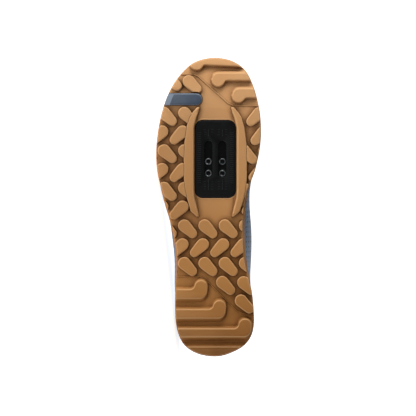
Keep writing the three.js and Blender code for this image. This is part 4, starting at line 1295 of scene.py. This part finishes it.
# Padded tongue, quilted by sewn channels
def model_tongue():
    stations = [k for k in range(EDGE.stations) if 84 < EDGE.points[k].x < 204]
    columns = 24
    channels = 5

    def half_width(x):
        if x > THROAT_TOP_X:
            half = throat_half(min(x, 186)) + 9
        else:
            half = mix(25.5, 26.5, (THROAT_TOP_X - x) / 30)
        tip = clamp((x - EDGE.points[stations[0]].x) / 13.0)
        return half * math.sqrt(max(0.05, 1 - (1 - tip) ** 2) * 0.6 + 0.4 * tip)

    def place(i, row):
        k = stations[clamp(i, 0, len(stations) - 1)]
        x = EDGE.points[k].x
        top = row <= columns
        share = (row if top else 2 * columns - row) / columns * 2 - 1
        index = k if share >= 0 else EDGE.count - k
        reach = abs(share) * half_width(x)
        centre = throat_centre(x)
        turn = LAST.turn_at(index, TONGUE_TOP, lambda point: abs(point.y - centre) > reach)
        pad = max(0.0, 1 - abs(share) ** 5) ** 0.5
        pad *= min(1.0, 0.25 + min(i, len(stations) - 1 - i) * 0.75)
        quilt = 0.55 + 0.45 * abs(math.sin(math.pi * channels * (share + 1) / 2)) ** 0.6
        middle = TONGUE_TOP - TONGUE_THICK / 2
        half = TONGUE_THICK / 2 * pad * quilt
        return LAST.point(index, turn, middle + half if top else middle - half)

    tongue = grid_body("padded_tongue", len(stations) - 1, 2 * columns, place, wrap=False)
    only(tongue)
    bpy.ops.object.mode_set(mode="EDIT")
    bpy.ops.mesh.select_mode(type="EDGE")
    bpy.ops.mesh.select_all(action="DESELECT")
    bpy.ops.mesh.select_non_manifold()
    bpy.ops.mesh.edge_face_add()
    face_outward()
    apply_modifier(tongue, "SUBSURF", levels=2, render_levels=2)
    dress(tongue, KNIT, 60)
    lay_down(tongue, replaces=["tongue"])


# Laces and eyelets
def surface_over(x, y, grow):
    """The point of the grown last's surface over a place in plan, and the way out of it there."""
    def height(px, py):
        k = next(n for n in range(EDGE.stations) if EDGE.points[n].x >= px)
        centre = throat_centre(px)
        heights = []
        for n in (k - 1, k):
            index = n if py >= centre else EDGE.count - n
            turn = LAST.turn_at(index, grow, lambda point: abs(point.y - centre) > abs(py - centre))
            heights.append(LAST.point(index, turn, grow).z)
        share = (px - EDGE.points[k - 1].x) / (EDGE.points[k].x - EDGE.points[k - 1].x)
        return mix(heights[0], heights[1], share)

    here = height(x, y)
    slope_x = height(x + 1, y) - here
    slope_y = height(x, y + 1) - here
    return Vector((x, y, here)), Vector((-slope_x, -slope_y, 1)).normalized()


def model_laces():
    """Flat lace bars: each comes up through one eyelet, over the tongue, and down the other."""
    for n in range(EYELET_PAIRS):
        inner, inner_axis = EYELETS[f"eyelet_inner_{n + 1}"]
        outer, outer_axis = EYELETS[f"eyelet_outer_{n + 1}"]
        x = EYELET_FIRST_X - n * EYELET_PITCH
        reach = throat_half(x) + EYELET_SET_BACK
        centre = throat_centre(x)
        high = OVERLAY_HIGH + GAP + EYELET_THICK + LACE_CLEAR + 0.9
        path, ups = [], []
        for step in range(15):
            share = 1 - 2 * step / 14
            y = centre + reach * 0.93 * share
            lift = mix(LACE_CLEAR + 1.9, high, smooth(abs(y - centre), 0, throat_half(x)))
            place, way = surface_over(x, y, lift)
            path.append(place)
            ups.append(way)
        path = [inner - inner_axis * 2.2, inner + inner_axis * 0.9] + path + [
            outer + outer_axis * 0.9, outer - outer_axis * 2.2]
        side = Vector((0, 1, 0))
        ups = [side, (inner_axis + side).normalized()] + ups + [(outer_axis - side).normalized(), -side]

        def section(share):
            width = mix(2.6, LACE_WIDTH, smooth(min(share, 1 - share), 0.06, 0.24))
            return oval(width, LACE_THICK if width > 4 else 1.7, 12)

        lace = sweep(f"lace_run_{n + 1}", path, ups, section)
        apply_modifier(lace, "SUBSURF", levels=1, render_levels=1)
        dress(lace, LACE, 60)
        lay_down(lace, replaces=[f"lace_bar_{n + 1}"])


def model_eyelets():
    """One rolled ring, copied to each eyelet."""
    profile = [
        (2.25, -0.5), (2.25, 0.2), (2.45, 0.42), (2.9, 0.52),
        (3.45, 0.45), (3.85, 0.2), (3.95, -0.1), (3.9, -0.5),
    ]
    rows = len(profile)

    def place(column, row):
        radius, z = profile[row % rows]
        angle = 2 * math.pi * column / 36
        return Vector((radius * math.cos(angle), radius * math.sin(angle), z))

    pattern = grid_body("eyelet", 36, rows, place)
    for name, (middle, axis) in EYELETS.items():
        ring = copy_at(pattern, turned_to(middle, axis))
        ring.name = f"ring_{name}"
        settle(ring)
        dress(ring, BLACKED, 50)
        lay_down(ring, replaces=[name])
    bpy.data.objects.remove(pattern)


# Midsole and insole
def model_midsole():
    in_wrap = tucked(2.5)
    band_top = above(bed_height, LIP_HEIGHT)

    def up_band(share):
        return lambda x: mix(wrap_top(x) + GAP, band_top(x), share)

    midsole = sole_body("midsole_foam", [
        (in_wrap, above(cup_floor, GAP)),
        (in_wrap, above(wrap_top, GAP)),
        (flat(FOAM_INSET + 0.15), above(wrap_top, GAP + 0.3)),
        (flat(FOAM_INSET + 0.15), up_band(0.45)),
        (flat(FOAM_INSET + 0.45), up_band(0.52)),
        (flat(FOAM_INSET + 0.15), up_band(0.59)),
        (flat(FOAM_INSET + 0.15), above(band_top, -1.0)),
        (flat(FOAM_INSET + 0.45), above(band_top, -0.35)),
        (flat(FOAM_INSET + 1.1), band_top),
    ])
    carve(midsole, last_body("foot", UPPER_WALL + GAP))
    inside = FEATHER_INSET - UPPER_WALL - GAP
    lip_room = [(flat(inside), bed_height), (flat(inside), above(bed_height, 9))]
    carve(midsole, sole_body("lip_room", lip_room))
    carve(midsole, prism("plate_room", pocket_outline(2 * GAP), -5, PLATE_FACE + PLATE_THICK + GAP))
    nut_room = rounded_rectangle(PLATE_X, PLATE_Y, 43.8, 25.8, 2.4)
    carve(midsole, prism("nut_room", nut_room, 0, PLATE_FACE + PLATE_THICK + 2.4 + 2 * GAP))
    dress(midsole, FOAM)
    lay_down(midsole, replaces=["midsole"])


def model_insole():
    side = FEATHER_INSET + 0.5
    low = above(bed_height, GAP)
    insole = sole_body("insole_bed", [
        (flat(side), low),
        (flat(side), above(low, 3.1)),
        (flat(side + 0.35), above(low, 3.9)),
        (flat(side + 1.0), above(low, 4.35)),
        (flat(side + 1.9), above(low, 4.5)),
        (flat(side + 6.0), above(low, 4.4)),
    ])
    dress(insole, BRUSHED)
    lay_down(insole, replaces=["insole"])


# Materials
def linear(code):
    """A colour written as sRGB hex, in linear light."""
    channels = [int(code[n : n + 2], 16) / 255 for n in (1, 3, 5)]
    turned = [c / 12.92 if c <= 0.04045 else ((c + 0.055) / 1.055) ** 2.4 for c in channels]
    return (*turned, 1.0)


def add_node(material, kind, output="", **values):
    """Adds a node and returns its named output. A value is a property, a constant or a socket."""
    node = material.node_tree.nodes.new("ShaderNode" + kind)
    for name, value in values.items():
        socket = next((s for s in node.inputs if s.identifier.replace(" ", "_") == name), None)
        if socket is None:
            setattr(node, name, value)
        elif isinstance(value, bpy.types.NodeSocket):
            material.node_tree.links.new(value, socket)
        else:
            socket.default_value = linear(value) if isinstance(value, str) else value
    return next((s for s in node.outputs if s.identifier == output), None)


def new_material(name):
    """An empty material, and the place on the standing shoe, in millimetres, for its patterns."""
    material = bpy.data.materials.new(name)
    material.use_nodes = True
    material.node_tree.nodes.clear()
    return material, add_node(material, "Attribute", "Vector", attribute_name="standing")


def finish_material(material, **values):
    shader = add_node(material, "BsdfPrincipled", "BSDF", **values)
    add_node(material, "OutputMaterial", Surface=shader)
    return material


def shifted(material, value, low, high, first, second, most=1.0):
    """A colour that turns from a first into a second one, as a value goes from low to high."""
    share = add_node(material, "MapRange", "Result", Value=value, From_Min=low, From_Max=high, To_Max=most)
    mixture = {"data_type": "RGBA", "Factor_Float": share, "A_Color": first, "B_Color": second}
    return add_node(material, "Mix", "Result_Color", **mixture)


def dots(material, standing, pitch, size, flatten=(1.0, 1.0, 1.0)):
    """Round dots on a regular grid: 1 inside a dot, 0 between them."""
    factors = {"Vector": standing, "Vector_001": [value / pitch for value in flatten]}
    places = add_node(material, "VectorMath", "Vector", operation="MULTIPLY", **factors)
    cells = add_node(material, "TexVoronoi", "Distance", Scale=1.0, Randomness=0.0, Vector=places)
    edge = size / pitch / 2
    limits = {"From_Min": edge, "From_Max": edge + 0.06, "To_Min": 1.0, "To_Max": 0.0}
    return add_node(material, "MapRange", "Result", Value=cells, **limits)


# Natural gum rubber, moulded: a waxy tan with painted shade that deepens it towards the heel, where the
# light falls off. Its raised edges are painted pale as a highlight, and painted shade turns the grooves
# brown. 0.4 mm mould grain dulls the shine
def gum_rubber():
    gum, standing = new_material("moulded gum rubber")
    along = add_node(gum, "SeparateXYZ", "X", Vector=standing)
    # Painted shade: lighter towards the toe and darker towards the heel, as the light falls off along the
    # sole
    colour = shifted(gum, along, 60.0, 270.0, "#ac7841", "#c09264")
    colour = shifted(gum, along, -10.0, 80.0, "#6e3f14", colour)
    clouds = add_node(gum, "TexNoise", "Fac", Scale=0.03, Detail=3.0, Vector=standing)
    colour = shifted(gum, clouds, 0.35, 0.65, colour, "#b67e45", 0.2)
    # Painted shade: ambient occlusion darkens the grooves and the feet of the lugs to deep brown
    painted_shade_openness = add_node(gum, "AmbientOcclusion", "AO", samples=6, only_local=True, Distance=6 * MM)
    colour = shifted(gum, painted_shade_openness, 0.35, 0.95, "#452000", colour)
    # Painted highlight: the marked raised edges and the lip are painted paler
    pale_edge = add_node(gum, "Attribute", "Fac", attribute_name="pale_edge")
    colour = shifted(gum, pale_edge, 0.0, 1.0, colour, "#d3a878", 0.55)
    grain = add_node(gum, "TexNoise", "Fac", Scale=2.5, Detail=2.0, Vector=standing)
    bump = add_node(gum, "Bump", "Normal", Strength=0.12, Distance=0.4 * MM, Height=grain)
    looks = {"Roughness": 0.7, "IOR": 1.52, "Specular_IOR_Level": 0.12}
    return finish_material(gum, Base_Color=colour, Normal=bump, **looks)


# Glass-filled nylon, injection moulded: near black, with a fine spark-eroded skin that gives a
# broad soft sheen, a faint film of dust in patches, and raised lines and sloped edges painted paler
def filled_nylon():
    nylon, standing = new_material("glass-filled nylon")
    dust = add_node(nylon, "TexNoise", "Fac", Scale=0.09, Detail=4.0, Vector=standing)
    colour = shifted(nylon, dust, 0.42, 0.75, "#020303", "#0b0f10", 0.3)
    pale_edge = add_node(nylon, "Attribute", "Fac", attribute_name="pale_edge")
    colour = shifted(nylon, pale_edge, 0.0, 1.0, colour, "#2a3032", 0.6)
    skin = add_node(nylon, "TexNoise", "Fac", Scale=3.5, Detail=1.0, Vector=standing)
    bump = add_node(nylon, "Bump", "Normal", Strength=0.15, Distance=0.3 * MM, Height=skin)
    looks = {"Roughness": 0.42, "IOR": 1.53, "Specular_IOR_Level": 0.14}
    return finish_material(nylon, Base_Color=colour, Normal=bump, **looks)


# Blackened metal: a dark satin skin over turned metal, rubbed brighter in patches
def blackened_metal(name, dark, rubbed):
    metal, standing = new_material(name)
    patches = add_node(metal, "TexNoise", "Fac", Scale=0.5, Detail=3.0, Vector=standing)
    colour = shifted(metal, patches, 0.45, 0.75, dark, rubbed)
    limits = {"From_Min": 0.3, "From_Max": 0.7, "To_Min": 0.3, "To_Max": 0.45}
    roughness = add_node(metal, "MapRange", "Result", Value=patches, **limits)
    return finish_material(metal, Base_Color=colour, Roughness=roughness, Metallic=0.85)


# Pigmented rubber inset, polished mould: even slate blue with a soft gloss, and a painted highlight
# that makes its edges lighter
def badge_rubber():
    rubber, standing = new_material("pigmented rubber")
    clouds = add_node(rubber, "TexNoise", "Fac", Scale=0.12, Detail=2.0, Vector=standing)
    colour = shifted(rubber, clouds, 0.3, 0.7, "#243244", "#2c3b4e")
    # Painted highlight: the marked edges are painted paler
    pale_edge = add_node(rubber, "Attribute", "Fac", attribute_name="pale_edge")
    colour = shifted(rubber, pale_edge, 0.0, 1.0, colour, "#7d8b9a", 0.5)
    return finish_material(rubber, Base_Color=colour, Roughness=0.4, IOR=1.52)


# Moulded EVA foam: the sole's tan, dull and faintly pebbled by its closed cells, 0.8 mm apart
def eva_foam():
    foam, standing = new_material("moulded EVA foam")
    clouds = add_node(foam, "TexNoise", "Fac", Scale=0.05, Detail=3.0, Vector=standing)
    colour = shifted(foam, clouds, 0.35, 0.65, "#b98a5a", "#c89b6c")
    cells = add_node(foam, "TexVoronoi", "Distance", Scale=1.2, Vector=standing)
    bump = add_node(foam, "Bump", "Normal", Strength=0.3, Distance=0.2 * MM, Height=cells)
    return finish_material(foam, Base_Color=colour, Normal=bump, Roughness=0.8, Specular_IOR_Level=0.2)


# Knitted polyester: slate blue yarn in loops 1.4 mm apart, matt with a soft fibre glow at its
# edges, and vent holes 5 mm apart along the sides, painted as dark dots: the dark lining behind them, in
# painted shade
def knitted_polyester():
    knit, standing = new_material("knitted polyester")
    yarn = add_node(knit, "TexNoise", "Fac", Scale=0.9, Detail=4.0, Vector=standing)
    colour = shifted(knit, yarn, 0.35, 0.68, "#45607f", "#647f9e")
    clouds = add_node(knit, "TexNoise", "Fac", Scale=0.03, Detail=2.0, Vector=standing)
    colour = shifted(knit, clouds, 0.4, 0.7, colour, "#5b6470", 0.3)
    vented = add_node(knit, "Attribute", "Fac", attribute_name="vented")
    holes = dots(knit, standing, 5.0, 1.5, (1.0, 0.0, 1.0))
    holes = add_node(knit, "Math", "Value", operation="MULTIPLY", Value=holes, Value_001=vented)
    # Painted shade: the vent holes are not cut, but painted as dark dots for the shaded lining behind them
    colour = shifted(knit, holes, 0.0, 1.0, colour, "#141d27")
    loops = dots(knit, standing, 1.4, 0.9)
    height = add_node(knit, "Math", "Value", operation="SUBTRACT", Value=loops, Value_001=holes)
    bump = add_node(knit, "Bump", "Normal", Strength=0.5, Distance=0.35 * MM, Height=height)
    looks = {"Roughness": 0.9, "Sheen_Weight": 0.25, "Sheen_Roughness": 0.5}
    return finish_material(knit, Base_Color=colour, Normal=bump, **looks)


# Coated leather and toe film: dark navy skin with a fine pebble, 0.7 mm in the leather and 1.4 mm
# in the film, and a low gloss that varies in patches
def coated_skin(name, dark, light, grain_scale, roughness):
    skin, standing = new_material(name)
    clouds = add_node(skin, "TexNoise", "Fac", Scale=0.06, Detail=4.0, Vector=standing)
    colour = shifted(skin, clouds, 0.35, 0.68, dark, light)
    pebble = add_node(skin, "TexVoronoi", "Distance", Scale=grain_scale, Vector=standing)
    bump = add_node(skin, "Bump", "Normal", Strength=0.35, Distance=0.25 * MM, Height=pebble)
    limits = {"From_Min": 0.3, "From_Max": 0.7, "To_Min": roughness, "To_Max": roughness + 0.15}
    gloss = add_node(skin, "MapRange", "Result", Value=clouds, **limits)
    return finish_material(skin, Base_Color=colour, Normal=bump, Roughness=gloss, Specular_IOR_Level=0.35)


# Spacer mesh and brushed cloth: charcoal, without shine. The mesh has open cells 2.2 mm apart, and
# the cloth a nap half as coarse; the cells are painted darker, as shade in their hollows
def soft_lining(name, dark, light, pitch):
    lining, standing = new_material(name)
    cells = dots(lining, standing, pitch, pitch * 0.55)
    fibres = add_node(lining, "TexNoise", "Fac", Scale=1.5, Detail=4.0, Vector=standing)
    colour = shifted(lining, fibres, 0.3, 0.7, dark, light)
    # Painted shade: the cells are painted darker, as shade falls in them
    colour = shifted(lining, cells, 0.0, 1.0, colour, "#10151b", 0.45)
    height = add_node(lining, "MapRange", "Result", Value=cells, To_Min=1.0, To_Max=0.0)
    bump = add_node(lining, "Bump", "Normal", Strength=0.5, Distance=0.4 * MM, Height=height)
    return finish_material(lining, Base_Color=colour, Normal=bump, Roughness=0.95, Sheen_Weight=0.3)


# Woven polyester lace and thread: tight plaits that catch light on each crossing, 2 mm apart in
# the lace and 0.7 mm in the thread
def woven_lace(name, dark, light, plait):
    lace, standing = new_material(name)
    weave = {"bands_direction": "DIAGONAL", "Scale": plait, "Distortion": 1.0, "Detail": 1.0}
    plaits = add_node(lace, "TexWave", "Fac", Vector=standing, **weave)
    colour = shifted(lace, plaits, 0.2, 0.8, dark, light)
    bump = add_node(lace, "Bump", "Normal", Strength=0.5, Distance=0.3 * MM, Height=plaits)
    return finish_material(lace, Base_Color=colour, Normal=bump, Roughness=0.85, Sheen_Weight=0.2)


GUM = gum_rubber()
NYLON = filled_nylon()
STEEL = blackened_metal("black oxide steel", "#020303", "#0a0b0c")
RUBBED_STEEL = blackened_metal("black oxide steel, rubbed bright", "#565b5d", "#a7acad")
BADGE = badge_rubber()
FOAM = eva_foam()
KNIT = knitted_polyester()
SKIN = coated_skin("polyurethane-coated leather", "#1f2b3a", "#2c3b4e", 1.4, 0.5)
BUMPER = coated_skin("thermoplastic toe film", "#1b2531", "#263240", 0.7, 0.42)
LINING = soft_lining("spacer mesh lining", "#27303b", "#3a4654", 2.2)
BRUSHED = soft_lining("brushed polyester cloth", "#1c2127", "#2e353d", 1.1)
LACE = woven_lace("woven polyester lace", "#1f2833", "#3b4a5b", 0.32)
THREAD = woven_lace("polyester thread", "#5d7187", "#8fa1b5", 0.9)
BLACKED = blackened_metal("blackened brass", "#15181b", "#4a4f54")

model_outsole()
model_badge()
model_cleat_plate()
model_nut_plate()
model_midsole()
model_insole()
model_upper()
sew_seams(model_toe_cap(), model_heel_counter(), model_eyestay())
model_collar_roll()
model_tongue()
model_eyelets()
model_laces()


# Floor and soft studio light. The floor glows a little, as a lit sweep does, and the light comes
# from the toe's side
def white_sweep():
    sweep_paper, _ = new_material("white sweep")
    looks = {"Roughness": 0.9, "Emission_Color": "#ffffff", "Emission_Strength": 0.78}
    return finish_material(sweep_paper, Base_Color="#f4f4f4", **looks)


def add_stage():
    deselect()
    bpy.ops.mesh.primitive_plane_add(size=30, location=(0, 0, 0))
    floor = bpy.context.object
    floor.name = "studio_floor"
    floor.data.materials.append(white_sweep())


def add_area(name, place, aim, size, power):
    data = bpy.data.lights.new(name, "AREA")
    data.shape = "RECTANGLE"
    data.size, data.size_y = size
    data.energy = power
    light = bpy.data.objects.new(name, data)
    turn = (Vector(aim) - Vector(place)).to_track_quat("-Z", "Y").to_matrix().to_4x4()
    light.matrix_world = Matrix.Translation(Vector(place)) @ turn
    bpy.context.scene.collection.objects.link(light)


def add_world():
    """White behind the shoe, and dimmer in front of it, where the sole faces."""
    world = bpy.data.worlds.new("studio")
    world.use_nodes = True
    world.node_tree.nodes.clear()
    way = add_node(world, "TexCoord", "Generated")
    behind = add_node(world, "SeparateXYZ", "Y", Vector=way)
    limits = {"From_Min": -0.2, "From_Max": 0.5, "To_Min": 0.05, "To_Max": 1.0}
    strength = add_node(world, "MapRange", "Result", Value=behind, **limits)
    sky = add_node(world, "Background", "Background", Color="#ffffff", Strength=strength)
    add_node(world, "OutputWorld", Surface=sky)
    bpy.context.scene.world = world


add_stage()
add_area("key", (-1.9, -0.62, 0.6), (0.0, 0.0, 0.05), (0.9, 0.9), 35)
add_area("fill", (0.1, -2.2, 0.9), (0.0, 0.0, 0.05), (1.2, 1.2), 1.4)
add_world()
bpy.context.scene.view_settings.view_transform = "Standard"
